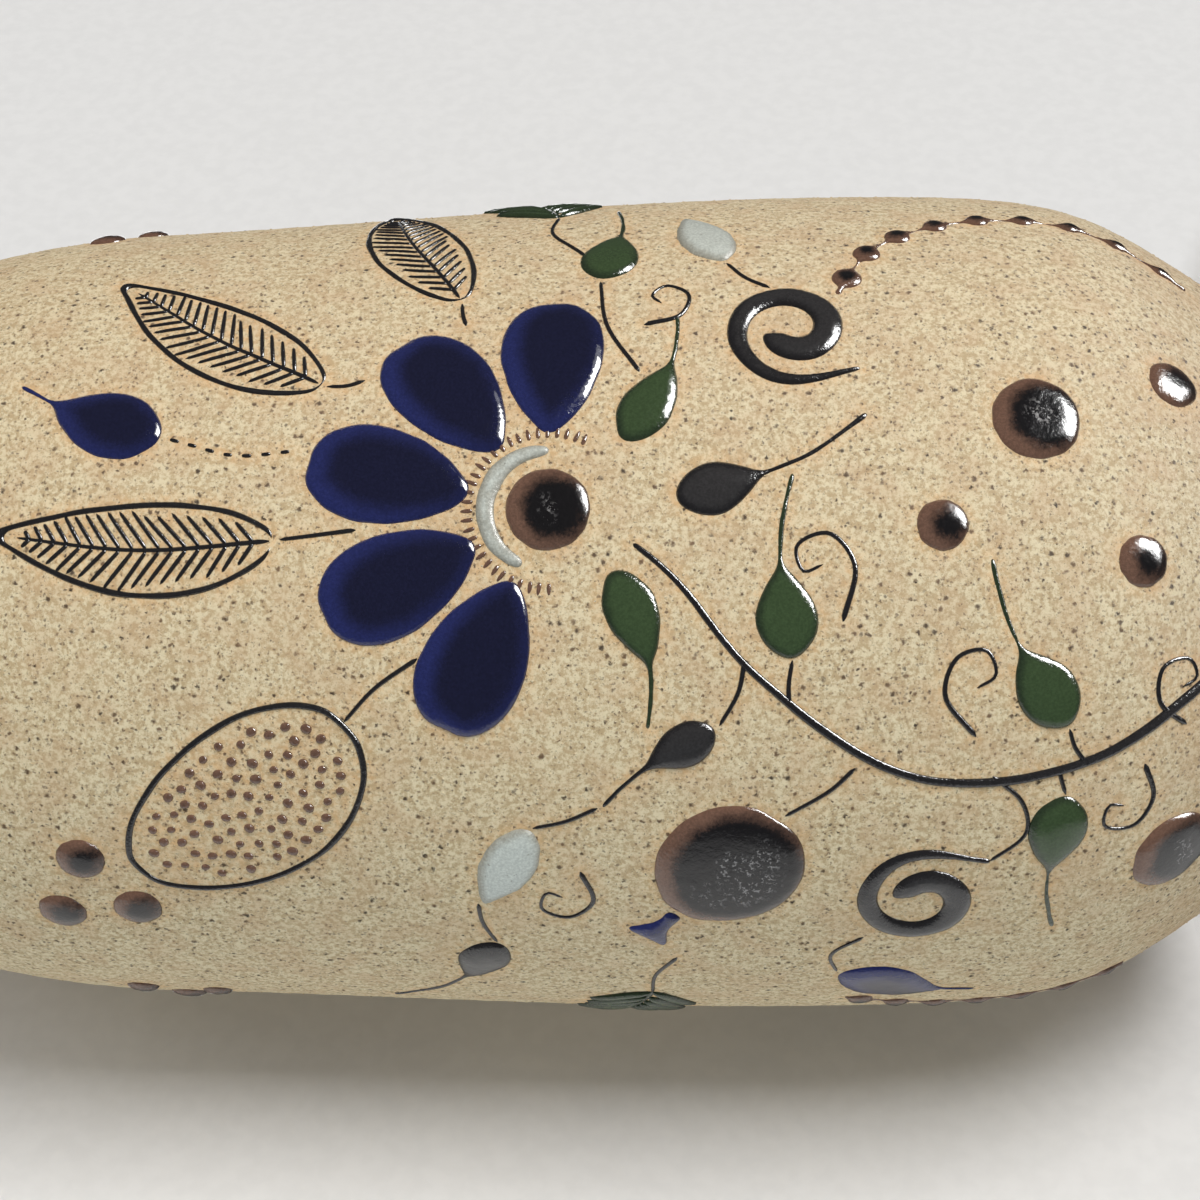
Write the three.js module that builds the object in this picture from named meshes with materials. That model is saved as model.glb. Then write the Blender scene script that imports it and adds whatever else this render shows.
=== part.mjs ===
// A tall stoneware vase with raised glaze painting, in millimetres, +Z up, its foot on z = 0.
// The front of the pot faces -Y. A place on the wall is given as it looks from outside, with the pot
// upright: around is the arc at the belly in millimetres, to the right of the front's middle line,
// and up is the height above the table.

import * as THREE from "three";

// The thrown wall, outside, from the foot up. Each rise is counted from the station below it.
const FOOT_RADIUS = 52.2;
const FOOT_LEAN_DEG = 31.7;
const BELLY_RADIUS = 75;
const BELLY_RISE = 80;
const SHOULDER_RADIUS = 70.1;
const SHOULDER_RISE = 120;
const SHOULDER_LEAN_DEG = 2.2;
const SEAM_RADIUS = 36;
const SEAM_RISE = 78;
const SEAM_LEAN_DEG = 65;
const THROAT_RADIUS = 26.5;
const THROAT_RISE = 12;
const LIP_RADIUS = 31.5;
const LIP_RISE = 12;
const LIP_LEAN_DEG = 48;

// How full each stretch of the wall is: the pull at its two ends as a share of its own rise.
const FOOT_FULLNESS = [0.48, 0.64];
const TAPER_FULLNESS = [0.33, 0.33];
const SHOULDER_FULLNESS = [0.084, 0.435];
const NECK_FULLNESS = [0.72, 0.4];
const LIP_FULLNESS = [0.45, 0.5];

// Thickness of the pot, and how its underside is trimmed.
const WALL = 6;
const FLOOR = 8;
const FLOOR_CORNER_RADIUS = 12;
const FOOT_RING_WIDTH = 8;
const FOOT_RECESS = 2.5;
const FOOT_EDGE_CUT = 1.2;

// Coats of glaze that run all the way round.
const LINER_THICKNESS = 0.8;
const BAND_THICKNESS = 0.8;
const NECK_BAND_HEIGHT = 9;
const RIM_WRAP_DEG = 128;

// Raised glaze pads: the crown of a wide one, its edge, and the half width that reaches the full crown.
const PAD_CROWN = 1.1;
const PAD_EDGE = 0.45;
const PAD_FULL_HALF_WIDTH = 4;

// The room between two pieces that touch on the real pot.
const SEAT_GAP = 0.3;

// Lines, tails and stems of the brush work.
const LINE_HALF_WIDTH = 0.55;
const TAIL_TIP_HALF_WIDTH = 0.33;
const STEM_FOOT_HALF_WIDTH = 1.05;
const STEM_TIP_HALF_WIDTH = 0.5;

// The palmette, a fan of petals on a round heart with a crescent between.
const PETAL_COUNT = 5;
const PETAL_SPREAD_DEG = 39;
const PETAL_LENGTH = 27;
const PETAL_GAP = 2.6;
const CALYX_RADIUS = 12.5;
const CRESCENT_RADIUS = 10;
const CRESCENT_REACH_DEG = 81;
const CRESCENT_HALF_WIDTH = 1.5;
const HEART_RADIUS = 6.8;

// The fruit with its flared crown, the seed pod and the plumes.
const FRUIT_LENGTH = 26;
const FRUIT_HALF_WIDTH = 12;
const FRUIT_CROWN_LENGTH = 8;
const FRUIT_CROWN_HALF_WIDTH = 4.2;
const POD_LENGTH = 45;
const POD_HALF_WIDTH = 14;
const POD_BEND = 6;
const PLUME_LENGTH = 46;
const PLUME_HALF_WIDTH = 7.5;

// The scroll, which starts as a tail beside its coil and winds inwards.
const SCROLL_TURNS = 1.25;
const SCROLL_RADIUS = 10.5;
const SCROLL_INNER_RADIUS = 2.9;
const SCROLL_HALF_WIDTH = 2.4;
const SCROLL_LEAD = [8.2, -11.5];
const SCROLL_STEPS = 12;

// The fern and the bead threads, each bare for the same share of its length at both ends.
const BARE_SHARE = 0.06;
const FERN_LENGTH = 38;
const FERN_REACH = 11;
const FERN_LEAFLETS = 7;
const FERN_LAST_SHARE = 0.45;
const FERN_BEND = 5;
const LEAFLET_SWEEP = 0.7;
const THREAD_HALF_WIDTH = 0.5;

const LARGE_DOT_RADIUS = 7.2;
const SMALL_DOT_RADIUS = 4.2;
const BLOT_LEAF_LENGTH = 19;
const BLOT_LEAF_HALF_WIDTH = 4.6;

// The leaves that the brush draws in one stroke each, with the share of it that the body takes.
const SEPAL = { length: 26, half: 4.3, bodyShare: 0.62 };
const SHORT_LEAF = { length: 23, half: 3.8, bodyShare: 0.55 };
const MIDDLE_LEAF = { length: 30, half: 5, bodyShare: 0.5 };
const LONG_LEAF = { length: 34, half: 4.4, bodyShare: 0.42 };
const BUD = { length: 27, half: 6.2, bodyShare: 0.74 };

// Faces: segments round the pot and round its liner, and points along one stretch of the wall.
const SEGMENTS = 48;
const LINER_SEGMENTS = 32;
const FOOT_POINTS = 6;
const TAPER_POINTS = 6;
const SHOULDER_POINTS = 7;
const NECK_POINTS = 3;
const LIP_POINTS = 3;
const ARC_POINTS = 3;

// A station of the wall that lies this close to a cut gives way to the cut's own point.
const STATION_MERGE = 0.5;

// Rows of faces along each kind of brush stroke.
const ROWS = { petal: 8, blot: 8, dot: 7, fruit: 9, crescent: 12, scroll: 22, stem: 20, pod: 12, plume: 11 };

// The finishes: colour, roughness and metalness as the pot shows them.
const FINISH = {
  clay: { color: 0xd2bd93, roughness: 0.92, metalness: 0 },
  liner: { color: 0x6f4a34, roughness: 0.25, metalness: 0 },
  cobalt: { color: 0x20265c, roughness: 0.12, metalness: 0 },
  iron_brown: { color: 0x5c3526, roughness: 0.15, metalness: 0 },
  leaf_green: { color: 0x34532f, roughness: 0.16, metalness: 0 },
  charcoal: { color: 0x313133, roughness: 0.22, metalness: 0 },
  white_grey: { color: 0xb7bfb8, roughness: 0.3, metalness: 0 },
};

// Names of the station heights that other pieces line up with.
const BELLY_HEIGHT = BELLY_RISE;
const SHOULDER_HEIGHT = BELLY_HEIGHT + SHOULDER_RISE;
const SEAM_HEIGHT = SHOULDER_HEIGHT + SEAM_RISE;
const THROAT_HEIGHT = SEAM_HEIGHT + THROAT_RISE;
const LIP_HEIGHT = THROAT_HEIGHT + LIP_RISE;

const { degToRad, lerp } = THREE.MathUtils;
const vase = new THREE.Group();

function addPiece(name, finish, geometry) {
  const mesh = new THREE.Mesh(geometry, new THREE.MeshStandardMaterial(FINISH[finish]));
  mesh.name = name;
  vase.add(mesh);
}

// One stretch of the wall between two stations [radius, height, lean from upright in degrees],
// where a positive lean opens outwards as the wall rises.
function wallStretch([r0, z0, lean0], [r1, z1, lean1], [pull0, pull1], count) {
  const rise = z1 - z0;
  const a = degToRad(lean0);
  const b = degToRad(lean1);
  const curve = new THREE.CubicBezierCurve(
    new THREE.Vector2(r0, z0),
    new THREE.Vector2(r0 + pull0 * rise * Math.sin(a), z0 + pull0 * rise * Math.cos(a)),
    new THREE.Vector2(r1 - pull1 * rise * Math.sin(b), z1 - pull1 * rise * Math.cos(b)),
    new THREE.Vector2(r1, z1),
  );
  return curve.getPoints(count);
}

// The whole outer line from the foot to the lip, with so many points to each stretch.
function outerLine(foot, taper, shoulder, neck, lip) {
  const stations = [
    [FOOT_RADIUS, 0, FOOT_LEAN_DEG],
    [BELLY_RADIUS, BELLY_HEIGHT, 0],
    [SHOULDER_RADIUS, SHOULDER_HEIGHT, -SHOULDER_LEAN_DEG],
    [SEAM_RADIUS, SEAM_HEIGHT, -SEAM_LEAN_DEG],
    [THROAT_RADIUS, THROAT_HEIGHT, 0],
    [LIP_RADIUS, LIP_HEIGHT, LIP_LEAN_DEG],
  ];
  const fullness = [FOOT_FULLNESS, TAPER_FULLNESS, SHOULDER_FULLNESS, NECK_FULLNESS, LIP_FULLNESS];
  const counts = [foot, taper, shoulder, neck, lip];
  const line = [new THREE.Vector2(FOOT_RADIUS, 0)];
  counts.forEach((count, i) => {
    line.push(...wallStretch(stations[i], stations[i + 1], fullness[i], count).slice(1));
  });
  return line;
}

// The direction out of the wall at each point of a line that runs upwards.
function normalsOf(line) {
  return line.map((_, i) => {
    const along = line[Math.min(i + 1, line.length - 1)].clone().sub(line[Math.max(i - 1, 0)]);
    return new THREE.Vector2(along.y, -along.x).normalize();
  });
}

function offsetLine(line, distance) {
  const normals = normalsOf(line);
  return line.map((p, i) => p.clone().addScaledVector(normals[i], distance));
}

// The two points of a rising line that a height lies between, and its share of the way.
function spanAt(line, height) {
  const found = line.findIndex((p, i) => i > 0 && p.y >= height);
  const next = found < 0 ? line.length - 1 : found;
  const share = (height - line[next - 1].y) / (line[next].y - line[next - 1].y);
  return { next, share };
}

// The point where a rising line crosses a height.
function crossing(line, height) {
  const { next, share } = spanAt(line, height);
  return line[next - 1].clone().lerp(line[next], share);
}

// The stretch of a rising line between two heights, with a point at each.
function between(line, low, high) {
  const inner = line.filter((p) => p.y > low + STATION_MERGE && p.y < high - STATION_MERGE);
  return [crossing(line, low), ...inner, crossing(line, high)];
}

function arc(centre, radius, fromDeg, toDeg, count) {
  return Array.from({ length: count + 1 }, (_, i) => {
    const angle = degToRad(lerp(fromDeg, toDeg, i / count));
    return new THREE.Vector2(centre.x + radius * Math.cos(angle), centre.y + radius * Math.sin(angle));
  });
}

// A body of revolution about Z from an outline of radius and height.
function turned(outline, segments = SEGMENTS) {
  return new THREE.LatheGeometry(outline, segments).rotateX(Math.PI / 2);
}

const outer = outerLine(FOOT_POINTS, TAPER_POINTS, SHOULDER_POINTS, NECK_POINTS, LIP_POINTS);
const cavity = offsetLine(outer, -WALL);

// The inside from the middle of the floor up to the cavity line, at one depth inside the bare clay.
function insideFloor(depth) {
  const floor = FLOOR + depth;
  const radius = FLOOR_CORNER_RADIUS - depth;
  const start = crossing(offsetLine(cavity, -depth), floor + radius);
  const centre = new THREE.Vector2(start.x - radius, floor + radius);
  return [new THREE.Vector2(0, floor), ...arc(centre, radius, -90, 0, ARC_POINTS)];
}

function vaseBody() {
  const footInner = FOOT_RADIUS - FOOT_RING_WIDTH;
  const underside = [
    new THREE.Vector2(0, FOOT_RECESS),
    new THREE.Vector2(footInner - FOOT_RECESS, FOOT_RECESS),
    new THREE.Vector2(footInner, 0),
    new THREE.Vector2(FOOT_RADIUS - FOOT_EDGE_CUT, 0),
  ];
  const outside = between(outer, FOOT_EDGE_CUT, SEAM_HEIGHT);
  const inside = between(cavity, FLOOR + FLOOR_CORNER_RADIUS, SEAM_HEIGHT).reverse();
  const floor = insideFloor(0).reverse().slice(1);
  return turned([...underside, ...outside, ...inside, ...floor]);
}

// The middle of the rolled lip, where the wall ends in a half round.
const lipNormal = normalsOf(outer).at(-1);
const lipCentre = outer.at(-1).clone().addScaledVector(lipNormal, -WALL / 2);
const lipDeg = THREE.MathUtils.radToDeg(lipNormal.angle()) - 360;

function neckCollar() {
  const base = SEAM_HEIGHT + SEAT_GAP;
  const outside = between(outer, base, LIP_HEIGHT);
  const roll = arc(lipCentre, WALL / 2, lipDeg, lipDeg + 180, 2 * ARC_POINTS).slice(1, -1);
  const inside = between(cavity, base, cavity.at(-1).y).reverse();
  return turned([...outside, ...roll, ...inside, outside[0].clone()]);
}

// A ring of glaze between an outline and the one under it.
function coat(over, under) {
  return turned([...over, ...under.reverse(), over[0].clone()]);
}

function neckBand() {
  const half = NECK_BAND_HEIGHT / 2;
  const covered = between(outer, SEAM_HEIGHT - half, SEAM_HEIGHT + half);
  return coat(offsetLine(covered, SEAT_GAP + BAND_THICKNESS), offsetLine(covered, SEAT_GAP));
}

function rimGlazeBand() {
  const from = lipDeg + 90 - RIM_WRAP_DEG / 2;
  const wrap = (off) => arc(lipCentre, WALL / 2 + off, from, from + RIM_WRAP_DEG, ARC_POINTS + 1);
  return coat(wrap(SEAT_GAP + BAND_THICKNESS), wrap(SEAT_GAP));
}

function linerGlaze() {
  const top = THROAT_HEIGHT + LIP_RISE / 2;
  const side = (depth) => {
    const rising = offsetLine(cavity, -depth);
    return [...insideFloor(depth), ...between(rising, FLOOR + FLOOR_CORNER_RADIUS, top).slice(1)];
  };
  const under = side(SEAT_GAP);
  const over = side(SEAT_GAP + LINER_THICKNESS);
  return turned([...under, ...over.reverse()], LINER_SEGMENTS);
}

// The fine outer line that the glaze pads lie on, and where it is at a height.
const fineOuter = outerLine(60, 40, 60, 20, 20);
const fineNormals = normalsOf(fineOuter);

function wallAt(height) {
  const { next, share } = spanAt(fineOuter, height);
  return {
    point: fineOuter[next - 1].clone().lerp(fineOuter[next], share),
    normal: fineNormals[next - 1].clone().lerp(fineNormals[next], share).normalize(),
  };
}

// A motif's place on the wall, turned clockwise by so many degrees as seen from outside.
const at = (around, up, turn = 0) => ({ around, up, turn: degToRad(turn) });

// How far right and up of a motif's place its own point (x, y) lies.
function offsetIn(place, x, y) {
  const cos = Math.cos(place.turn);
  const sin = Math.sin(place.turn);
  return { right: x * cos + y * sin, rise: y * cos - x * sin };
}

// A place moved within its own motif.
function within(place, x, y, turn = 0) {
  const { right, rise } = offsetIn(place, x, y);
  const around = place.around + (right * BELLY_RADIUS) / wallAt(place.up).point.x;
  return { around, up: place.up + rise, turn: place.turn + degToRad(turn) };
}

// The point in space that lies at (x, y) of a motif and stands off the clay by a height.
function onWall(place, x, y, off) {
  const { right, rise } = offsetIn(place, x, y);
  const { point, normal } = wallAt(place.up + rise);
  const angle = place.around / BELLY_RADIUS + right / wallAt(place.up).point.x;
  const radius = point.x + off * normal.x;
  return [radius * Math.sin(angle), -radius * Math.cos(angle), point.y + off * normal.y];
}

// Where a pad's section has its points from one edge to the other, over its crown and on its seat.
const LINE_SECTION = { over: [-1, 1], under: [-1, 1] };
const LEAF_SECTION = { over: [-1, 0, 1], under: [-1, 0, 1] };
const WIDE_SECTION = { over: [-1, -0.6, 0, 0.6, 1], under: [-1, 0, 1] };

// The crown of a pad over one point of its section.
function crownAt(across, halfWidth) {
  const full = lerp(PAD_EDGE, PAD_CROWN, Math.min(1, halfWidth / PAD_FULL_HALF_WIDTH));
  return lerp(full, PAD_EDGE, across ** 4);
}

// A closed skin over a row of rings, each a loop of as many points in space. The row itself is
// closed into a loop, or it is capped at both ends.
function skinOver(rings, closed) {
  const size = rings[0].length;
  const index = [];
  const count = closed ? rings.length : rings.length - 1;
  for (let i = 0; i < count; i++) {
    const near = i * size;
    const far = ((i + 1) % rings.length) * size;
    for (let j = 0; j < size; j++) {
      const next = (j + 1) % size;
      index.push(near + j, near + next, far + j, near + next, far + next, far + j);
    }
  }
  if (!closed) {
    const last = (rings.length - 1) * size;
    for (let j = 1; j < size - 1; j++) {
      index.push(0, j + 1, j, last, last + j, last + j + 1);
    }
  }
  const geometry = new THREE.BufferGeometry();
  geometry.setAttribute("position", new THREE.Float32BufferAttribute(rings.flat(2), 3));
  geometry.setIndex(index);
  return geometry;
}

// One ring of a brush stroke: over the crown from left to right and back along the seat. With a
// sweep, its edges run ahead of its middle.
function strokeRing(place, point, tangent, half, section, sweep = 0) {
  const left = new THREE.Vector2(-tangent.y, tangent.x);
  const spot = (across, off) => {
    const forward = sweep * half * Math.abs(across);
    const x = point.x - left.x * half * across + tangent.x * forward;
    const y = point.y - left.y * half * across + tangent.y * forward;
    return onWall(place, x, y, off);
  };
  const over = section.over.map((across) => spot(across, SEAT_GAP + crownAt(across, half)));
  const under = section.under.map((across) => spot(across, SEAT_GAP));
  return [...over, ...under.reverse()];
}

// A brush stroke along a curve, with rows of [share of the way, half width].
function stroke(place, curve, rows, section = LEAF_SECTION, sweep = 0) {
  const rings = rows.map(([share, half]) => {
    return strokeRing(place, curve.getPointAt(share), curve.getTangentAt(share), half, section, sweep);
  });
  return skinOver(rings, false);
}

// A line drawn round a closed row of points.
function drawnRound(place, points, half) {
  const rings = points.map((point, i) => {
    const before = points.at(i - 1);
    const after = points[(i + 1) % points.length];
    return strokeRing(place, point, after.clone().sub(before).normalize(), half, LINE_SECTION);
  });
  return skinOver(rings, true);
}

const straight = (length) => new THREE.LineCurve(new THREE.Vector2(0, 0), new THREE.Vector2(0, length));
const through = (points) => new THREE.SplineCurve(points.map(([x, y]) => new THREE.Vector2(x, y)));

// A spine of a length that bends to one side. A leaf's is straight as far as its body goes.
const LEAF_SPINE = [[0, 0], [0, 0.5], [0.35, 0.76], [1, 1]];
const EVEN_SPINE = [[0, 0], [0.25, 0.5], [1, 1]];
const bent = (spine, length, bend) => through(spine.map(([x, y]) => [bend * x, length * y]));

// Shares of the way from end to end, closer together at the ends.
const END_SHARE = 0.012;
function shares(count) {
  return Array.from({ length: count }, (_, i) => {
    const eased = (1 - Math.cos((Math.PI * i) / (count - 1))) / 2;
    return lerp(END_SHARE, 1 - END_SHARE, eased);
  });
}

// A half width that swells from a base to a tip: the lower an exponent, the rounder that end.
function swelling(half, [base, tip]) {
  const widest = base / (base + tip);
  const most = widest ** base * (1 - widest) ** tip;
  return (share) => (half * share ** base * (1 - share) ** tip) / most;
}

const rowsOf = (count, halfAt) => shares(count).map((share) => [share, halfAt(share)]);

// The shapes that the brush makes, as the exponents of their base and tip.
const DISC = [0.5, 0.5];
const PETAL = [0.72, 0.44];
const LEAF = [0.75, 1.05];
const FRUIT = [0.5, 0.56];
const CRESCENT = [0.3, 0.3];
const COMMA = [0.7, 0.12];

function blot(place, length, half, shape, count = ROWS.blot, section = LEAF_SECTION) {
  return stroke(place, straight(length), rowsOf(count, swelling(half, shape)), section);
}

// A fan of cobalt petals on a brown heart, with a pale crescent between them. A petal is as wide as
// the fan leaves room for, less the gap to the next one.
function palmette(prefix, place) {
  const widest = CALYX_RADIUS + (PETAL_LENGTH * PETAL[0]) / (PETAL[0] + PETAL[1]);
  const half = widest * Math.sin(degToRad(PETAL_SPREAD_DEG / 2)) - PETAL_GAP / 2;
  for (let i = 0; i < PETAL_COUNT; i++) {
    const turn = (i - (PETAL_COUNT - 1) / 2) * PETAL_SPREAD_DEG;
    const angle = degToRad(turn);
    const base = within(place, CALYX_RADIUS * Math.sin(angle), CALYX_RADIUS * Math.cos(angle), turn);
    const petal = blot(base, PETAL_LENGTH, half, PETAL, ROWS.petal, WIDE_SECTION);
    addPiece(`${prefix}_petal_${i + 1}`, "cobalt", petal);
  }
  const middle = new THREE.Vector2(0, 0);
  const [from, to] = [90 + CRESCENT_REACH_DEG, 90 - CRESCENT_REACH_DEG];
  const round = new THREE.SplineCurve(arc(middle, CRESCENT_RADIUS, from, to, 2 * ARC_POINTS));
  const rows = rowsOf(ROWS.crescent, swelling(CRESCENT_HALF_WIDTH, CRESCENT));
  addPiece(`${prefix}_crescent`, "white_grey", stroke(place, round, rows));
  const heart = within(place, 0, -HEART_RADIUS);
  addPiece(`${prefix}_heart`, "iron_brown", blot(heart, 2 * HEART_RADIUS, HEART_RADIUS, DISC));
}

// A leaf that runs out in a thin tail, which bends to one side. Its rows are shares of its body and
// then shares of its tail.
const LEAF_BODY_ROWS = [0.02, 0.18, 0.4, 0.62, 0.82, 1];
const LEAF_TAIL_ROWS = [0.25, 0.5, 0.75, 0.99];

function tailedLeaf(place, { length, half, bodyShare }, bend) {
  const body = swelling(half, LEAF);
  const halfAt = (share) => {
    const tail = lerp(LINE_HALF_WIDTH, TAIL_TIP_HALF_WIDTH, share);
    return share < bodyShare ? Math.max(tail, body(share / bodyShare)) : tail;
  };
  const bodyRows = LEAF_BODY_ROWS.map((share) => share * bodyShare);
  const tailRows = LEAF_TAIL_ROWS.map((share) => lerp(bodyShare, 1, share));
  const rows = [...bodyRows, ...tailRows].map((share) => [share, halfAt(share)]);
  return stroke(place, bent(LEAF_SPINE, length, bend), rows);
}

// A comma that winds in on itself, thin at its start and full at its inner end. The hand is 1 or -1.
function scroll(place, hand) {
  const points = [SCROLL_LEAD];
  for (let i = 0; i <= SCROLL_STEPS; i++) {
    const share = i / SCROLL_STEPS;
    const angle = share * SCROLL_TURNS * 2 * Math.PI;
    const radius = lerp(SCROLL_RADIUS, SCROLL_INNER_RADIUS, share);
    points.push([radius * Math.cos(angle), radius * Math.sin(angle)]);
  }
  const full = swelling(SCROLL_HALF_WIDTH, COMMA);
  const rows = rowsOf(ROWS.scroll, (share) => Math.max(LINE_HALF_WIDTH, full(share)));
  return stroke(place, through(points.map(([x, y]) => [hand * x, y])), rows);
}

// A stem with leaflets on both sides that point forward and shorten towards its tip. A pair of
// leaflets has rows of [share of its own stretch of the stem, share of its reach].
const LEAFLET_ROWS = [[0.1, 0.12], [0.3, 0.85], [0.55, 1], [0.78, 0.12]];

function frond(place, bend) {
  const rows = [[END_SHARE, LINE_HALF_WIDTH]];
  for (let i = 0; i < FERN_LEAFLETS; i++) {
    const reach = FERN_REACH * lerp(1, FERN_LAST_SHARE, (i / (FERN_LEAFLETS - 1)) ** 2);
    LEAFLET_ROWS.forEach(([part, size]) => {
      const share = lerp(BARE_SHARE, 1 - BARE_SHARE, (i + part) / FERN_LEAFLETS);
      rows.push([share, LINE_HALF_WIDTH + reach * size]);
    });
  }
  rows.push([1 - END_SHARE, LINE_HALF_WIDTH]);
  return stroke(place, bent(EVEN_SPINE, FERN_LENGTH, bend), rows, LEAF_SECTION, LEAFLET_SWEEP);
}

// A thread of glaze with beads that shrink along it. A bead's rows are shares of its radius.
const BEAD_ROWS = [-1, -0.72, 0, 0.72, 1];

function beadThread(place, points, beads, firstRadius, lastRadius) {
  const curve = through(points);
  const length = curve.getLength();
  const rows = [[0, THREAD_HALF_WIDTH]];
  for (let i = 0; i < beads; i++) {
    const radius = lerp(firstRadius, lastRadius, i / (beads - 1));
    const middle = lerp(BARE_SHARE, 1 - BARE_SHARE, i / (beads - 1));
    BEAD_ROWS.forEach((part) => {
      const half = Math.max(THREAD_HALF_WIDTH, radius * Math.sqrt(1 - part ** 2));
      rows.push([middle + (part * radius) / length, half]);
    });
  }
  rows.push([1, THREAD_HALF_WIDTH]);
  return stroke(place, curve, rows, LINE_SECTION);
}

// The drawn outline of a swelling form along a bent spine.
function outlined(place, length, half, shape, bend, count) {
  const curve = bent(EVEN_SPINE, length, bend);
  const halfAt = swelling(half, shape);
  const side = (hand) =>
    shares(count).map((share) => {
      const tangent = curve.getTangentAt(share);
      const point = curve.getPointAt(share);
      const reach = hand * halfAt(share);
      return new THREE.Vector2(point.x + tangent.y * reach, point.y - tangent.x * reach);
    });
  return drawnRound(place, [...side(-1), ...side(1).reverse()], LINE_HALF_WIDTH);
}

function dot(name, place, radius) {
  addPiece(name, "iron_brown", blot(within(place, 0, -radius), 2 * radius, radius, DISC, ROWS.dot));
}

// A round fruit, and the crown at its far end, which flares in rows of [share of its length, share
// of its half width].
const FLARE_ROWS = [[0, 0.35], [0.3, 0.3], [0.65, 0.55], [1, 1]];

function fruit(prefix, place) {
  const body = blot(place, FRUIT_LENGTH, FRUIT_HALF_WIDTH, FRUIT, ROWS.fruit, WIDE_SECTION);
  addPiece(`${prefix}_fruit`, "iron_brown", body);
  const top = within(place, 0, FRUIT_LENGTH + 2 * SEAT_GAP);
  const rows = FLARE_ROWS.map(([share, part]) => [share, part * FRUIT_CROWN_HALF_WIDTH]);
  addPiece(`${prefix}_crown`, "cobalt", stroke(top, straight(FRUIT_CROWN_LENGTH), rows));
}

// The pot and its coats.
addPiece("vase_body", "clay", vaseBody());
addPiece("neck_collar", "clay", neckCollar());
addPiece("neck_band", "iron_brown", neckBand());
addPiece("rim_glaze_band", "iron_brown", rimGlazeBand());
addPiece("liner_glaze", "liner", linerGlaze());

// A stem climbs from the foot at the front and carries a palmette, with plumes and a pod round it.
const stemCurve = through([[-12, -52], [-27, -28], [-29, 0], [-13, 24], [4, 38], [11, 46]]);
const stemRows = rowsOf(ROWS.stem, (share) => lerp(STEM_FOOT_HALF_WIDTH, STEM_TIP_HALF_WIDTH, share));
addPiece("main_stem", "charcoal", stroke(at(0, 70), stemCurve, stemRows));
palmette("palmette", at(16, 128, 14));
fruit("pomegranate", at(-36, 92, -52));
const pod = outlined(at(-19, 161, -46), POD_LENGTH, POD_HALF_WIDTH, FRUIT, POD_BEND, ROWS.pod);
addPiece("seed_pod", "charcoal", pod);

// Each plume's name, place and bend.
const PLUMES = [
  ["plume_1", at(12, 171, -8), 9],
  ["plume_2", at(40, 164, 26), 10],
  ["plume_3", at(58, 142, 60), 10],
];
PLUMES.forEach(([name, place, bend]) => {
  addPiece(name, "charcoal", outlined(place, PLUME_LENGTH, PLUME_HALF_WIDTH, LEAF, bend, ROWS.plume));
});

// Each leaf's name, finish, place, kind and bend.
const LEAVES = [
  ["palmette_sepal_1", "leaf_green", at(6, 118, -112), SEPAL, 5],
  ["palmette_sepal_2", "leaf_green", at(27, 116, 122), SEPAL, -5],
  ["green_leaf_1", "leaf_green", at(-33, 46, -84), MIDDLE_LEAF, -4],
  ["green_leaf_2", "leaf_green", at(-21, 46, 58), MIDDLE_LEAF, 4],
  ["green_leaf_3", "leaf_green", at(-9, 90, 84), MIDDLE_LEAF, 4],
  ["green_leaf_4", "leaf_green", at(62, 119, 104), MIDDLE_LEAF, -4],
  ["dark_leaf_1", "charcoal", at(-20, 102, -30), SHORT_LEAF, -3],
  ["dark_leaf_2", "charcoal", at(17, 108, 164), LONG_LEAF, -5],
  ["dark_leaf_3", "charcoal", at(-66, 138, -64), LONG_LEAF, 6],
  ["cobalt_bud_1", "cobalt", at(31, 190, 20), BUD, 3],
  ["cobalt_bud_2", "cobalt", at(-76, 80, -150), BUD, -3],
];
LEAVES.forEach(([name, finish, place, leaf, bend]) => addPiece(name, finish, tailedLeaf(place, leaf, bend)));

const blotLeaf = (place) => blot(place, BLOT_LEAF_LENGTH, BLOT_LEAF_HALF_WIDTH, LEAF);
addPiece("white_leaf_1", "white_grey", blotLeaf(at(-38, 132, -64)));
addPiece("white_leaf_2", "white_grey", blotLeaf(at(66, 98, 70)));
addPiece("scroll_1", "charcoal", scroll(at(-54, 68), 1));
addPiece("scroll_2", "charcoal", scroll(at(48, 88), -1));
addPiece("fern_1", "leaf_green", frond(at(90, 126, 74), FERN_BEND));
addPiece("fern_2", "leaf_green", frond(at(-86, 112, -75), -FERN_BEND));

// Threads of beads that hang towards the foot.
const rightThread = [[-16, 20], [-2, 12], [8, -4], [10, -24], [2, -42]];
const leftThread = [[2, 18], [-6, 2], [-6, -16], [0, -32]];
addPiece("bead_thread_1", "iron_brown", beadThread(at(72, 60), rightThread, 9, 2.6, 1.6));
addPiece("bead_thread_2", "iron_brown", beadThread(at(-92, 60), leftThread, 7, 2.4, 1.5));

// Loose dots, a few large and more small ones.
const DOTS = [
  ["dot_1", at(12, 66), SMALL_DOT_RADIUS],
  ["dot_2", at(30, 50), LARGE_DOT_RADIUS],
  ["dot_3", at(6, 34), SMALL_DOT_RADIUS],
  ["dot_4", at(40, 26), SMALL_DOT_RADIUS],
  ["dot_5", at(-50, 26), LARGE_DOT_RADIUS],
  ["dot_6", at(-58, 198), SMALL_DOT_RADIUS],
  ["dot_7", at(-46, 206), SMALL_DOT_RADIUS],
  ["dot_8", at(-60, 211), SMALL_DOT_RADIUS],
];
DOTS.forEach(([name, place, radius]) => dot(name, place, radius));

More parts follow.
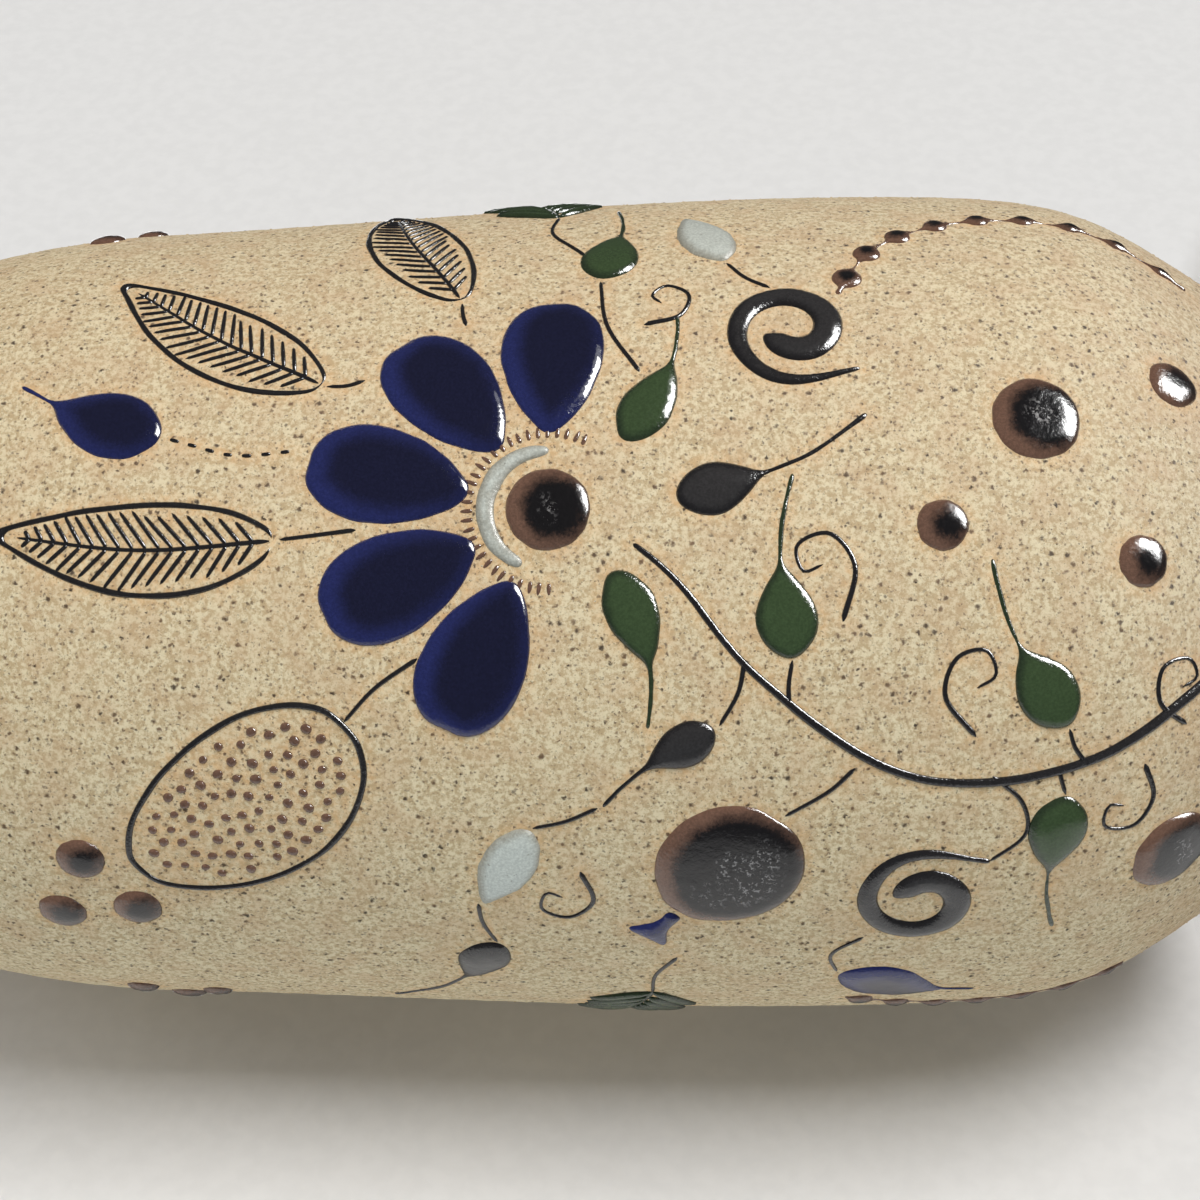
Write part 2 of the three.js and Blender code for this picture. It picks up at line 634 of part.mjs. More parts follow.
// The back carries a second palmette with less round it.
const BACK = Math.PI * BELLY_RADIUS;
palmette("back_palmette", at(BACK - 6, 120, -12));
fruit("back", at(BACK + 44, 92, 40));
addPiece("back_scroll", "charcoal", scroll(at(BACK - 50, 84), 1));
addPiece("back_leaf_1", "leaf_green", tailedLeaf(at(BACK + 10, 108, 118), MIDDLE_LEAF, -4));
addPiece("back_leaf_2", "charcoal", tailedLeaf(at(BACK - 20, 108, -118), LONG_LEAF, 4));
dot("back_dot_1", at(BACK + 4, 60), LARGE_DOT_RADIUS);
dot("back_dot_2", at(BACK - 16, 44), SMALL_DOT_RADIUS);

export default vase;
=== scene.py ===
"""A stoneware vase with raised glaze painting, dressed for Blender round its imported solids.

The pot stands upright with its foot on z = 0 and its painted front towards -Y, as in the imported
model. The camera lies on its side, because the pot was photographed lying on a counter.

The pot and its painting are drawn in millimetres. Most of the painting is drawn flat first, as
(around, up, off): the arc to the right at the belly as seen from outside, the height above the
table and the distance off the clay. The wall then wraps it round the pot, into metres.
"""
from __future__ import annotations

import logging
import math
import zlib
from collections.abc import Iterator
from contextlib import contextmanager
from dataclasses import dataclass, field
from enum import Enum
from itertools import pairwise

import bmesh
import bpy
import numpy as np
from bpy.types import Material, Mesh, Node, NodeSocket, NodeTree, Object, bpy_prop_collection
from mathutils import Matrix, Vector, geometry, kdtree


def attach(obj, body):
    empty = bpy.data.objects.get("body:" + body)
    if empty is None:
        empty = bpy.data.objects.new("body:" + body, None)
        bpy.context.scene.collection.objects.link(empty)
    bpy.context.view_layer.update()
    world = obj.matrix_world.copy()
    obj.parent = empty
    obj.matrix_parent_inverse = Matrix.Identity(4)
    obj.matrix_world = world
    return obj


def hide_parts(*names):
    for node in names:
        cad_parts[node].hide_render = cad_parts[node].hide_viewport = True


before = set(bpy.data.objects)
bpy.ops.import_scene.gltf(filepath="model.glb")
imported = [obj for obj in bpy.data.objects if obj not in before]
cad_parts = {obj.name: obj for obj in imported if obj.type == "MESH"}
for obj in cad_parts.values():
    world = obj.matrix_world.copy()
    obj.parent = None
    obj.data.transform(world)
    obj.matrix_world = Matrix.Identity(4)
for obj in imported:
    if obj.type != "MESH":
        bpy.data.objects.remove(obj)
log = logging.getLogger("vase")

BODY = "root"
MM = 0.001
BELLY = 75.0
HALF_ROUND = math.pi * BELLY
SEAM_HEIGHT = 278.0
WALL_THICKNESS = 6.0


class Finish(Enum):
    """The finishes of the pot, by the slot names of the imported model."""

    CLAY = "clay"
    LINER = "liner_glaze"
    COBALT = "cobalt_glaze"
    IRON_BROWN = "iron_brown_glaze"
    LEAF_GREEN = "leaf_green_glaze"
    CHARCOAL = "charcoal_glaze"
    WHITE_GREY = "white_grey_glaze"


class Ends(Enum):
    """What a row of points that goes round the pot does at its two ends."""

    MEET = "they meet"
    POLES = "each closes in a pole"
    OPEN = "they stay open"


def unit(rows: np.ndarray) -> np.ndarray:
    """Directions of length 1."""
    return rows / np.maximum(np.linalg.norm(rows, axis=1), 1e-9)[:, None]


def run_along(line: np.ndarray) -> np.ndarray:
    """How far along a line each of its points lies."""
    return np.concatenate([[0.0], np.cumsum(np.linalg.norm(np.diff(line, axis=0), axis=1))])


def round_axis(radius: np.ndarray, height: np.ndarray, angle: np.ndarray) -> np.ndarray:
    """Points in metres by their radius, height and angle from the front."""
    parts = np.broadcast_arrays(radius * np.sin(angle), -radius * np.cos(angle), height)
    return np.stack(parts, axis=-1) * MM


@dataclass(frozen=True)
class Station:
    """A place on the outer wall: radius, height and lean from upright in degrees."""

    radius: float
    height: float
    lean: float

    def along(self) -> np.ndarray:
        """The direction of the wall there, upwards."""
        lean = math.radians(self.lean)
        return np.array([math.sin(lean), math.cos(lean)])


@dataclass
class ThrownWall:
    """The outer line of the pot, from the foot to the lip, with its hand-thrown unevenness."""

    stations: tuple[Station, ...] = (
        Station(52.2, 0.0, 31.7),
        Station(75.0, 80.0, 0.0),
        Station(70.1, 200.0, -2.2),
        Station(36.0, 278.0, -65.0),
        Station(26.5, 290.0, 0.0),
        Station(31.5, 302.0, 48.0),
    )
    fullness: tuple[tuple[float, float], ...] = (
        (0.48, 0.64), (0.33, 0.33), (0.084, 0.435), (0.72, 0.4), (0.45, 0.5)
    )
    samples: int = 80
    ring_pitch: float = 7.3
    ring_height: float = 0.035
    wander: float = 0.05
    settling: float = 0.19
    even_foot: float = 12.0

    def __post_init__(self) -> None:
        """Works out the fine line and the directions out of it."""
        line = [np.array([[self.stations[0].radius, 0.0]])]
        for ends, pulls in zip(pairwise(self.stations), self.fullness):
            line.append(self._stretch(*ends, *pulls)[1:])
        self.line = np.vstack(line)
        along = np.gradient(self.line, axis=0)
        self.normals = unit(np.column_stack([along[:, 1], -along[:, 0]]))

    def _stretch(self, low: Station, high: Station, keep: float, reach: float) -> np.ndarray:
        """One smooth stretch of the line.

        Args:
            low: The station that it starts from.
            high: The station that it rises to.
            keep: How long it keeps the lean of its start, as a share of its rise.
            reach: How long it has the lean of its end.

        Returns:
            Rows of radius and height.
        """
        rise = high.height - low.height
        start, end = (np.array([end.radius, end.height]) for end in (low, high))
        leave, arrive = start + keep * rise * low.along(), end - reach * rise * high.along()
        t = np.linspace(0.0, 1.0, self.samples + 1)[:, None]
        left = 1 - t
        return left**3 * start + 3 * left**2 * t * leave + 3 * left * t**2 * arrive + t**3 * end

    def radius(self, height: np.ndarray | float) -> np.ndarray:
        """The radius of the outer line at a height."""
        return np.interp(height, self.line[:, 1], self.line[:, 0])

    def outline(self, heights: np.ndarray) -> np.ndarray:
        """Rows of radius and height on the outer line."""
        return np.column_stack([self.radius(heights), heights])

    def direction(self, height: np.ndarray) -> np.ndarray:
        """The direction out of the wall at each height, as rows of radius and height parts."""
        parts = [np.interp(height, self.line[:, 1], self.normals[:, k]) for k in (0, 1)]
        return unit(np.column_stack(parts))

    def unevenness(self, angle: np.ndarray, height: np.ndarray) -> np.ndarray:
        """How far throwing rings, a slow wander and settling move the wall off its true line."""
        turn = 2 * math.pi * height / self.ring_pitch + 1.6 * np.sin(angle)
        rings = self.ring_height * np.sin(turn)
        slow = self.wander * np.sin(2 * angle + height / 47.0) * np.sin(height / 31.0 + angle)
        return (rings + slow - self.settling) * np.clip(height / self.even_foot, 0.0, 1.0)

    def wrap(self, flat: np.ndarray) -> np.ndarray:
        """Lays flat points on the pot.

        Args:
            flat: Rows of around, up and off, in millimetres.

        Returns:
            Rows of x, y and z in metres.
        """
        angle, height = flat[:, 0] / BELLY, flat[:, 1]
        out = self.direction(height)
        off = flat[:, 2] + self.unevenness(angle, height)
        return round_axis(self.radius(height) + off * out[:, 0], height + off * out[:, 1], angle)

    def rows(self, low: float, high: float, count: int) -> np.ndarray:
        """Heights between two others that lie evenly along the line."""
        inner = self.line[(self.line[:, 1] > low) & (self.line[:, 1] < high)]
        line = np.vstack([self.outline(np.array([low])), inner, self.outline(np.array([high]))])
        run = run_along(line)
        return np.interp(np.linspace(0.0, run[-1], count), run, line[:, 1])


@dataclass(frozen=True)
class Place:
    """A motif's place on the wall, turned clockwise by so many degrees as seen from outside."""

    around: float
    up: float
    turn: float = 0.0

    def flat(self, points: np.ndarray, wall: ThrownWall) -> np.ndarray:
        """Moves a motif's own points to the flat drawing of the whole wall.

        Args:
            points: Rows of x, y and off.
            wall: The wall that the motif is painted on.

        Returns:
            Rows of around, up and off.
        """
        cos, sin = math.cos(math.radians(self.turn)), math.sin(math.radians(self.turn))
        right = points[:, 0] * cos + points[:, 1] * sin
        rise = points[:, 1] * cos - points[:, 0] * sin
        stretch = BELLY / float(wall.radius(self.up))
        return np.column_stack([self.around + right * stretch, self.up + rise, points[:, 2]])


def spline(points: np.ndarray, closed: bool, steps: int = 12) -> np.ndarray:
    """A smooth line through points that may lie unevenly.

    Args:
        points: Rows of two numbers.
        closed: Whether the line returns to its start.
        steps: Points to each span.

    Returns:
        Rows of two numbers, with the last point of a closed line left out.
    """
    if closed:
        before, here, after, last = (np.roll(points, shift, 0) for shift in (1, 0, -1, -2))
    else:
        padded = np.vstack([2 * points[0] - points[1], points, 2 * points[-1] - points[-2]])
        before, here, after, last = padded[:-3], padded[1:-2], padded[2:-1], padded[3:]
    knots = [np.zeros(len(here))]
    for a, b in ((before, here), (here, after), (after, last)):
        knots.append(knots[-1] + np.maximum(np.linalg.norm(b - a, axis=1), 1e-6) ** 0.5)
    k0, k1, k2, k3 = [k[:, None, None] for k in knots]
    t = k1 + (k2 - k1) * np.linspace(0.0, 1.0, steps, endpoint=False)[None, :, None]
    p0, p1, p2, p3 = [p[:, None, :] for p in (before, here, after, last)]

    def blend(a: np.ndarray, b: np.ndarray, low: np.ndarray, high: np.ndarray) -> np.ndarray:
        """Mixes two rows of points by where t lies between two knots."""
        return ((high - t) * a + (t - low) * b) / (high - low)

    a1, a2, a3 = blend(p0, p1, k0, k1), blend(p1, p2, k1, k2), blend(p2, p3, k2, k3)
    line = blend(blend(a1, a2, k0, k2), blend(a2, a3, k1, k3), k1, k2).reshape(-1, 2)
    return line if closed else np.vstack([line, points[-1]])


def evenly(line: np.ndarray, spacing: float, closed: bool) -> np.ndarray:
    """Points at an even spacing along a line."""
    whole = np.vstack([line, line[:1]]) if closed else line
    run = run_along(whole)
    at = np.linspace(0.0, run[-1], max(10, round(run[-1] / spacing)), endpoint=not closed)
    return np.column_stack([np.interp(at, run, whole[:, k]) for k in (0, 1)])


def inward(loop: np.ndarray) -> np.ndarray:
    """The direction into an anticlockwise loop at each of its points."""
    along = unit(np.roll(loop, -1, 0) - np.roll(loop, 1, 0))
    return np.column_stack([-along[:, 1], along[:, 0]])


def area(loop: np.ndarray) -> float:
    """The signed area inside a loop, which is positive where it runs anticlockwise."""
    x, y = loop[:, 0], loop[:, 1]
    return 0.5 * float(np.sum(x * np.roll(y, -1) - np.roll(x, -1) * y))


def distance(points: np.ndarray, loops: list[np.ndarray]) -> np.ndarray:
    """The distance of each point to the nearest of several closed loops."""
    nearest = np.full(len(points), np.inf)
    for loop in loops:
        span = np.roll(loop, -1, 0) - loop
        rel = points[:, None, :] - loop[None]
        share = (rel * span[None]).sum(2) / np.maximum((span**2).sum(1), 1e-12)
        gap = np.linalg.norm(rel - np.clip(share, 0.0, 1.0)[..., None] * span[None], axis=2)
        nearest = np.minimum(nearest, gap.min(1))
    return nearest


def inside(points: np.ndarray, loops: list[np.ndarray]) -> np.ndarray:
    """Whether each point lies inside an odd number of loops."""
    odd = np.zeros(len(points), bool)
    x, y = points[:, :1], points[:, 1:2]
    for loop in loops:
        a, b = loop, np.roll(loop, -1, 0)
        crosses = (a[None, :, 1] > y) != (b[None, :, 1] > y)
        rise = np.where(a[:, 1] == b[:, 1], 1e-12, b[:, 1] - a[:, 1])
        at = a[None, :, 0] + (y - a[None, :, 1]) * (b[:, 0] - a[:, 0])[None] / rise[None]
        odd ^= (crosses & (x < at)).sum(1) % 2 == 1
    return odd


def swelling(share: np.ndarray, base: float, tip: float) -> np.ndarray:
    """A half width of 1 at its widest that swells from a base to a tip."""
    widest = base / (base + tip)
    most = widest**base * (1 - widest) ** tip
    clipped = np.clip(share, 0.0, 1.0)
    return clipped**base * (1 - clipped) ** tip / most


@dataclass
class Skin:
    """A closed skin of points and faces, with values that its material reads."""

    points: np.ndarray
    faces: list
    values: dict[str, np.ndarray] = field(default_factory=dict)

    def mesh(self, name: str) -> Mesh:
        """Makes a smooth mesh of the skin."""
        data = bpy.data.meshes.new(name)
        data.from_pydata(self.points.tolist(), [], self.faces)
        data.validate()
        data.update()
        data.polygons.foreach_set("use_smooth", [True] * len(data.polygons))
        for label, numbers in self.values.items():
            layer = data.attributes.new(label, "FLOAT", "POINT")
            layer.data.foreach_set("value", np.asarray(numbers, dtype=np.float32))
        return data


def linked(name: str, data: object) -> Object:
    """A new object in the scene."""
    made = bpy.data.objects.new(name, data)
    bpy.context.scene.collection.objects.link(made)
    return made


def add_piece(
    name: str, data: Mesh, material: Material, finish: Finish, *nodes: str
) -> None:
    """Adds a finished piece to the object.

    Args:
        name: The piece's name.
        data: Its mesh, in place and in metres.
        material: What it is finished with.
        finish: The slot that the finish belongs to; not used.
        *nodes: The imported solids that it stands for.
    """
    data.materials.clear()
    data.materials.append(material)
    piece = linked(name, data)
    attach(piece, BODY)
    if nodes:
        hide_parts(*nodes)
    log.info("%s: %d faces", name, len(data.polygons))


def revolved(sections: np.ndarray, ends: Ends) -> list[tuple[int, ...]]:
    """The faces of rows of points that go round the pot.

    Args:
        sections: Points as [segment, row, 3], which is only read for its shape.
        ends: What the rows do at their two ends.

    Returns:
        Faces over the points in order of segment and row. Poles come last, foot first.
    """
    segments, rows = sections.shape[:2]
    faces: list[tuple[int, ...]] = []
    for i in range(segments):
        near, far = i * rows, ((i + 1) % segments) * rows
        for j in range(rows if ends is Ends.MEET else rows - 1):
            up = (j + 1) % rows
            faces.append((near + j, far + j, far + up, near + up))
        if ends is Ends.POLES:
            first = segments * rows
            faces.append((far, near, first))
            faces.append((near + rows - 1, far + rows - 1, first + 1))
    return faces


class Shader:
    """A node tree under construction."""

    def __init__(self, tree: NodeTree) -> None:
        """Starts on a tree and clears it."""
        self.tree = tree
        tree.nodes.clear()

    def sockets(self, way: str, rows: tuple) -> None:
        """Adds named sockets to a group, INPUT or OUTPUT, by rows of name, kind and default."""
        for label, kind, *default in rows:
            made = self.tree.interface.new_socket(
                label, in_out=way, socket_type=f"NodeSocket{kind}"
            )
            if default:
                made.default_value = default[0]

    def put(self, made: Node, inputs: dict) -> None:
        """Gives a node its inputs, by name or index, as values or as links from sockets."""
        for key, value in inputs.items():
            if isinstance(value, NodeSocket):
                self.tree.links.new(value, made.inputs[key])
            else:
                made.inputs[key].default_value = value

    def node(self, kind: str, inputs: dict | None = None, **settings: object) -> Node:
        """Adds a node.

        Args:
            kind: The node's type name.
            inputs: Values or output sockets for its inputs, by name or index.
            **settings: Its own properties.

        Returns:
            The node.
        """
        made = self.tree.nodes.new(kind)
        for key, value in settings.items():
            setattr(made, key, value)
        self.put(made, inputs or {})
        return made

    def noise(
        self, vector: object, scale: float, detail: float, rough: float = 0.5, out: str = "Fac"
    ) -> NodeSocket:
        """Noise of so many lumps to a unit of its coordinates."""
        inputs = {"Vector": vector, "Scale": scale, "Detail": detail, "Roughness": rough}
        return self.node("ShaderNodeTexNoise", inputs).outputs[out]

    def math(self, what: str, a: object, b: object = 0.0, c: object = 0.0) -> NodeSocket:
        """One sum on values or sockets."""
        return self.node("ShaderNodeMath", {0: a, 1: b, 2: c}, operation=what).outputs[0]

    def mul(self, a: object, b: object) -> NodeSocket:
        """One value times another."""
        return self.math("MULTIPLY", a, b)

    def add(self, a: object, b: object) -> NodeSocket:
        """One value added to another."""
        return self.math("ADD", a, b)

    def less(self, a: object, b: object) -> NodeSocket:
        """One value less another."""
        return self.math("SUBTRACT", a, b)

    def vector(self, what: str, inputs: dict, out: object = 0) -> NodeSocket:
        """One sum on vectors."""
        return self.node("ShaderNodeVectorMath", inputs, operation=what).outputs[out]

    def span(
        self, value: object, low: object, high: object, to_low: float = 0.0, to_high: float = 1.0
    ) -> NodeSocket:
        """Maps a value smoothly from one range to another and clamps it."""
        ends = {"From Min": low, "From Max": high, "To Min": to_low, "To Max": to_high}
        kind = "ShaderNodeMapRange"
        made = self.node(kind, {"Value": value} | ends, interpolation_type="SMOOTHSTEP")
        return made.outputs["Result"]

    def mix(self, share: object, a: object, b: object) -> NodeSocket:
        """A mix of two colours by a share."""
        return self.node("ShaderNodeMix", {0: share, 6: a, 7: b}, data_type="RGBA").outputs[2]

    def attribute(self, name: str) -> NodeSocket:
        """A value that the mesh holds."""
        return self.node("ShaderNodeAttribute", attribute_name=name).outputs["Fac"]

    def layer(self, tree: NodeTree, inputs: dict) -> bpy_prop_collection:
        """Places a group, and gives its outputs."""
        made = self.node("ShaderNodeGroup", node_tree=tree)
        self.put(made, inputs)
        return made.outputs


def rgb(red: float, green: float, blue: float) -> tuple[float, float, float, float]:
    """A colour as the eye reads it, 0 to 255, in the linear form that shaders take."""

    def linear(part: float) -> float:
        """One part of it."""
        c = part / 255.0
        return c / 12.92 if c <= 0.04045 else ((c + 0.055) / 1.055) ** 2.4

    return (linear(red), linear(green), linear(blue), 1.0)


class Group(Shader):
    """A shader group with named inputs and outputs."""

    def __init__(self, name: str, inputs: tuple, outputs: tuple) -> None:
        """Starts the group.

        Args:
            name: Its name.
            inputs: Rows of name, kind and default.
            outputs: Rows of name and kind.
        """
        super().__init__(bpy.data.node_groups.new(name, "ShaderNodeTree"))
        self.sockets("INPUT", inputs)
        self.sockets("OUTPUT", outputs)
        self.given = self.node("NodeGroupInput").outputs

    def end(self, results: dict) -> NodeTree:
        """Ends the group in its outputs, by name."""
        self.node("NodeGroupOutput", results)
        return self.tree


def grains_group() -> NodeTree:
    """Scattered grains of one size: a mask of them and how dark each one is."""
    s = Group(
        "scattered_grains",
        (
            ("Vector", "Vector"),
            ("Per Millimetre", "Float", 1.0),
            ("Share", "Float", 0.3),
            ("Size", "Float", 0.35),
        ),
        (("Mask", "Float"), ("Darkness", "Float")),
    )
    place = s.given["Vector"]
    warp = s.noise(place, 1.7, 2.0, out="Color")
    bend = s.vector("SUBTRACT", {0: warp, 1: (0.5, 0.5, 0.5)})
    moved = s.vector("ADD", {0: place, 1: s.vector("SCALE", {0: bend, "Scale": 0.9})})
    inputs = {"Vector": moved, "Scale": s.given["Per Millimetre"], "Randomness": 1.0}
    cell = s.node("ShaderNodeTexVoronoi", inputs).outputs
    parts = s.node("ShaderNodeSeparateColor", {"Color": cell["Color"]}).outputs
    chosen = s.math("LESS_THAN", parts[0], s.given["Share"])
    reach = s.mul(s.given["Size"], s.span(parts[1], 0.0, 1.0, 0.55, 1.15))
    near = s.span(cell["Distance"], s.mul(reach, 0.3), reach, 1.0, 0.0)
    return s.end({"Mask": s.mul(chosen, near), "Darkness": parts[2]})


def pool_group() -> NodeTree:
    """Glaze of one colour where it is thin and another where it pools, mottled between them."""
    s = Group(
        "pooled_glaze",
        (
            ("Vector", "Vector"),
            ("Depth", "Float", 0.0),
            ("Thin Color", "Color", (0.5, 0.5, 0.5, 1.0)),
            ("Deep Color", "Color", (0.1, 0.1, 0.1, 1.0)),
            ("Pool Start", "Float", 0.3),
            ("Pool End", "Float", 1.5),
            ("Raggedness", "Float", 1.0),
            ("Bubbles", "Float", 0.1),
            ("Roughness Low", "Float", 0.06),
            ("Roughness High", "Float", 0.16),
        ),
        (
            ("Color", "Color"),
            ("Roughness", "Float"),
            ("Height", "Float"),
            ("Grain", "Float"),
            ("Pool", "Float"),
        ),
    )
    given, place = s.given, s.given["Vector"]
    coarse = s.mul(s.less(s.noise(place, 0.42, 3.0, 0.6), 0.5), given["Raggedness"])
    grainy = s.less(s.noise(place, 1.9, 4.0, 0.75), 0.5)
    ragged = s.math("MULTIPLY_ADD", grainy, s.mul(given["Raggedness"], 1.1), coarse)
    pool = s.span(s.add(given["Depth"], ragged), given["Pool Start"], given["Pool End"])
    tone = s.span(s.noise(place, 2.4, 3.0, 0.65), 0.3, 0.75, 0.82, 1.18)
    color = s.mix(pool, given["Thin Color"], given["Deep Color"])
    smears = {"Value": s.noise(place, 0.9, 4.0, 0.6), "From Min": 0.35, "From Max": 0.7}
    ends = {"To Min": given["Roughness Low"], "To Max": given["Roughness High"]}
    rough = s.node("ShaderNodeMapRange", smears | ends)
    peel = s.mul(s.noise(place, 1.6, 2.0), 0.12)
    thin = s.span(given["Depth"], 0.3, 2.4, 0.8, 0.0)
    sandy = s.mul(thin, s.noise(place, 1.8, 2.0, 0.6))
    bubbly = s.mul(s.noise(place, 1.35, 3.0, 0.7), pool)
    return s.end(
        {
            "Color": s.vector("SCALE", {0: color, "Scale": tone}),
            "Roughness": rough.outputs["Result"],
            "Height": s.add(s.noise(place, 0.3, 2.0), peel),
            "Grain": s.math("MULTIPLY_ADD", bubbly, given["Bubbles"], sandy),
            "Pool": pool,
        }
    )


class Bench:
    """What every material is started from: the groups, and a tree with millimetre coordinates."""

    def __init__(self) -> None:
        """Builds the shared groups once."""
        self.grains = grains_group()
        self.pool = pool_group()

    def start(self, name: str) -> tuple[Material, Shader, NodeSocket]:
        """A new material, its shader and its coordinates in millimetres."""
        material = bpy.data.materials.new(name)
        material.use_nodes = True
        s = Shader(material.node_tree)
        place = s.node("ShaderNodeTexCoord").outputs["Object"]
        inputs = {"Vector": place, "Scale": (1000.0, 1000.0, 1000.0)}
        return material, s, s.node("ShaderNodeMapping", inputs).outputs["Vector"]

    def sprinkle(
        self, s: Shader, mm: object, per_mm: float, share: float, size: float
    ) -> bpy_prop_collection:
        """Places the grains in a material, with so many cells to a millimetre."""
        inputs = {"Vector": mm, "Per Millimetre": per_mm, "Share": share, "Size": size}
        return s.layer(self.grains, inputs)

    @staticmethod
    def close(s: Shader, inputs: dict, bumps: tuple[tuple[object, float, float], ...]) -> None:
        """Ends a material in one shader.

        Args:
            s: The shader under construction.
            inputs: Sockets that feed the shader, and constants set on its own sockets.
            bumps: Rows of height socket, strength and distance in metres, the coarse one first.
        """
        normal: dict = {}
        for height, strength, reach in bumps:
            given = {"Height": height, "Strength": strength, "Distance": reach} | normal
            normal = {"Normal": s.node("ShaderNodeBump", given).outputs["Normal"]}
        shader = s.node("ShaderNodeBsdfPrincipled", inputs | normal)
        s.node("ShaderNodeOutputMaterial", {"Surface": shader.outputs["BSDF"]})


@dataclass(frozen=True)
class SandyClay:
    """Bare sandy stoneware: cream and tan mottling, dark brown specks and a toasted foot."""

    cream: tuple = rgb(220, 204, 169)
    tan: tuple = rgb(185, 161, 123)
    pinkish: tuple = rgb(194, 159, 122)
    speck: tuple = rgb(112, 86, 62)
    speck_dark: tuple = rgb(50, 37, 27)
    toast: tuple = rgb(186, 140, 92)
    halo: tuple = rgb(222, 174, 118)
    toast_height: float = 34.0
    speck_sizes: tuple = ((2.3, 0.42, 0.44, 0.42), (1.3, 0.42, 0.44, 0.68), (0.75, 0.32, 0.4, 0.94))

    def build(self, bench: Bench) -> Material:
        """Makes the material, with specks by rows of cells per mm, share, size and weight."""
        material, s, mm = bench.start("sandy_clay")
        fine = s.span(s.noise(mm, 1.05, 4.0, 0.75), 0.39, 0.6)
        broad = s.span(s.noise(mm, 0.16, 3.0), 0.42, 0.68)
        ground = s.mix(s.mul(broad, 0.35), s.mix(fine, self.tan, self.cream), self.pinkish)
        up = s.node("ShaderNodeSeparateXYZ", {"Vector": mm}).outputs["Z"]
        patchy = s.mul(s.less(s.noise(mm, 0.035, 3.0), 0.5), 90.0)
        toasted = s.span(s.add(up, patchy), 0.0, self.toast_height, 0.45, 0.0)
        ground = s.mix(toasted, ground, self.toast)
        worn = s.mul(s.attribute("halo"), s.span(s.noise(mm, 0.9, 3.0), 0.35, 0.65, 0.15, 0.62))
        ground = s.mix(worn, ground, self.halo)
        height = s.noise(mm, 1.9, 4.0, 0.7)
        for per_mm, share, size, weight in self.speck_sizes:
            grains = bench.sprinkle(s, mm, per_mm, share, size)
            brown = s.mix(grains["Darkness"], self.speck, self.speck_dark)
            ground = s.mix(s.mul(grains["Mask"], weight), ground, brown)
            height = s.add(height, s.mul(grains["Mask"], 0.35))
        rough = s.span(s.noise(mm, 1.0, 2.0), 0.3, 0.7, 0.72, 0.9)
        inputs = {"Base Color": ground, "Roughness": rough, "Specular IOR Level": 0.42}
        bench.close(s, inputs, ((height, 0.55, 0.00022),))
        return material


@dataclass(frozen=True)
class GlossGlaze:
    """A thick, glossy coloured glaze that breaks to another colour where it is thin."""

    name: str
    thin: tuple
    deep: tuple
    pool_start: float
    pool_end: float
    raggedness: float
    roughness: tuple[float, float] = (0.05, 0.14)
    crackle: tuple | None = None
    pits: tuple | None = None
    ripple: float = 0.35
    sag: float = 0.3
    bubbles: float = 0.1
    coat: float = 0.35

    def build(self, bench: Bench) -> Material:
        """Makes the material."""
        material, s, mm = bench.start(self.name)
        depth = s.math("MULTIPLY_ADD", s.attribute("run"), self.sag, s.attribute("depth"))
        pool = s.layer(
            bench.pool,
            {
                "Vector": mm,
                "Depth": depth,
                "Thin Color": self.thin,
                "Deep Color": self.deep,
                "Pool Start": self.pool_start,
                "Pool End": self.pool_end,
                "Raggedness": self.raggedness,
                "Bubbles": self.bubbles,
                "Roughness Low": self.roughness[0],
                "Roughness High": self.roughness[1],
            },
        )
        color, rough = pool["Color"], pool["Roughness"]
        if self.crackle is not None:
            border = s.mul(pool["Pool"], s.span(depth, 3.2, 6.5, 0.0, 0.9))
            flecks = s.span(s.noise(mm, 1.25, 3.0, 0.75), 0.53, 0.62)
            patch = s.span(s.noise(mm, 0.13, 3.0), 0.44, 0.56)
            silver = s.mul(s.mul(flecks, border), patch)
            color = s.mix(s.mul(silver, 0.7), color, self.crackle)
            rough = s.add(rough, s.mul(silver, 0.25))
        if self.pits is not None:
            grains = bench.sprinkle(s, mm, 1.1, 0.3, 0.3)
            color = s.mix(s.mul(grains["Mask"], 0.6), color, self.pits)
        gloss = {"Specular IOR Level": 0.5, "IOR": 1.55, "Coat Roughness": 0.05}
        inputs = {"Base Color": color, "Roughness": rough, "Coat Weight": self.coat} | gloss
        bumps = ((pool["Height"], self.ripple, 0.0004), (pool["Grain"], 0.8, 0.0002))
        bench.close(s, inputs, bumps)
        return material


GLAZES = {
    Finish.COBALT: GlossGlaze(
        "cobalt_glaze", rgb(38, 43, 90), rgb(25, 26, 48), -0.2, 4.2, 1.2, sag=1.8
    ),
    Finish.IRON_BROWN: GlossGlaze(
        "iron_brown_glaze", rgb(110, 82, 68), rgb(25, 23, 24), 0.1, 3.1, 2.3,
        crackle=rgb(150, 146, 144), sag=1.7, bubbles=0.4,
    ),
    Finish.LEAF_GREEN: GlossGlaze(
        "leaf_green_glaze", rgb(44, 55, 38), rgb(59, 75, 48), 0.15, 1.5, 0.9
    ),
    Finish.CHARCOAL: GlossGlaze(
        "charcoal_glaze", rgb(34, 32, 33), rgb(50, 48, 48), 0.2, 1.5, 0.8, (0.1, 0.22)
    ),
    Finish.WHITE_GREY: GlossGlaze(
        "white_grey_glaze", rgb(158, 156, 144), rgb(190, 193, 184), 0.1, 1.6, 1.4,
        (0.34, 0.55), pits=rgb(112, 106, 94), coat=0.08,
    ),
    Finish.LINER: GlossGlaze(
        "liner_glaze", rgb(120, 82, 58), rgb(82, 52, 38), 0.2, 1.5, 1.6, (0.12, 0.24)
    ),
}


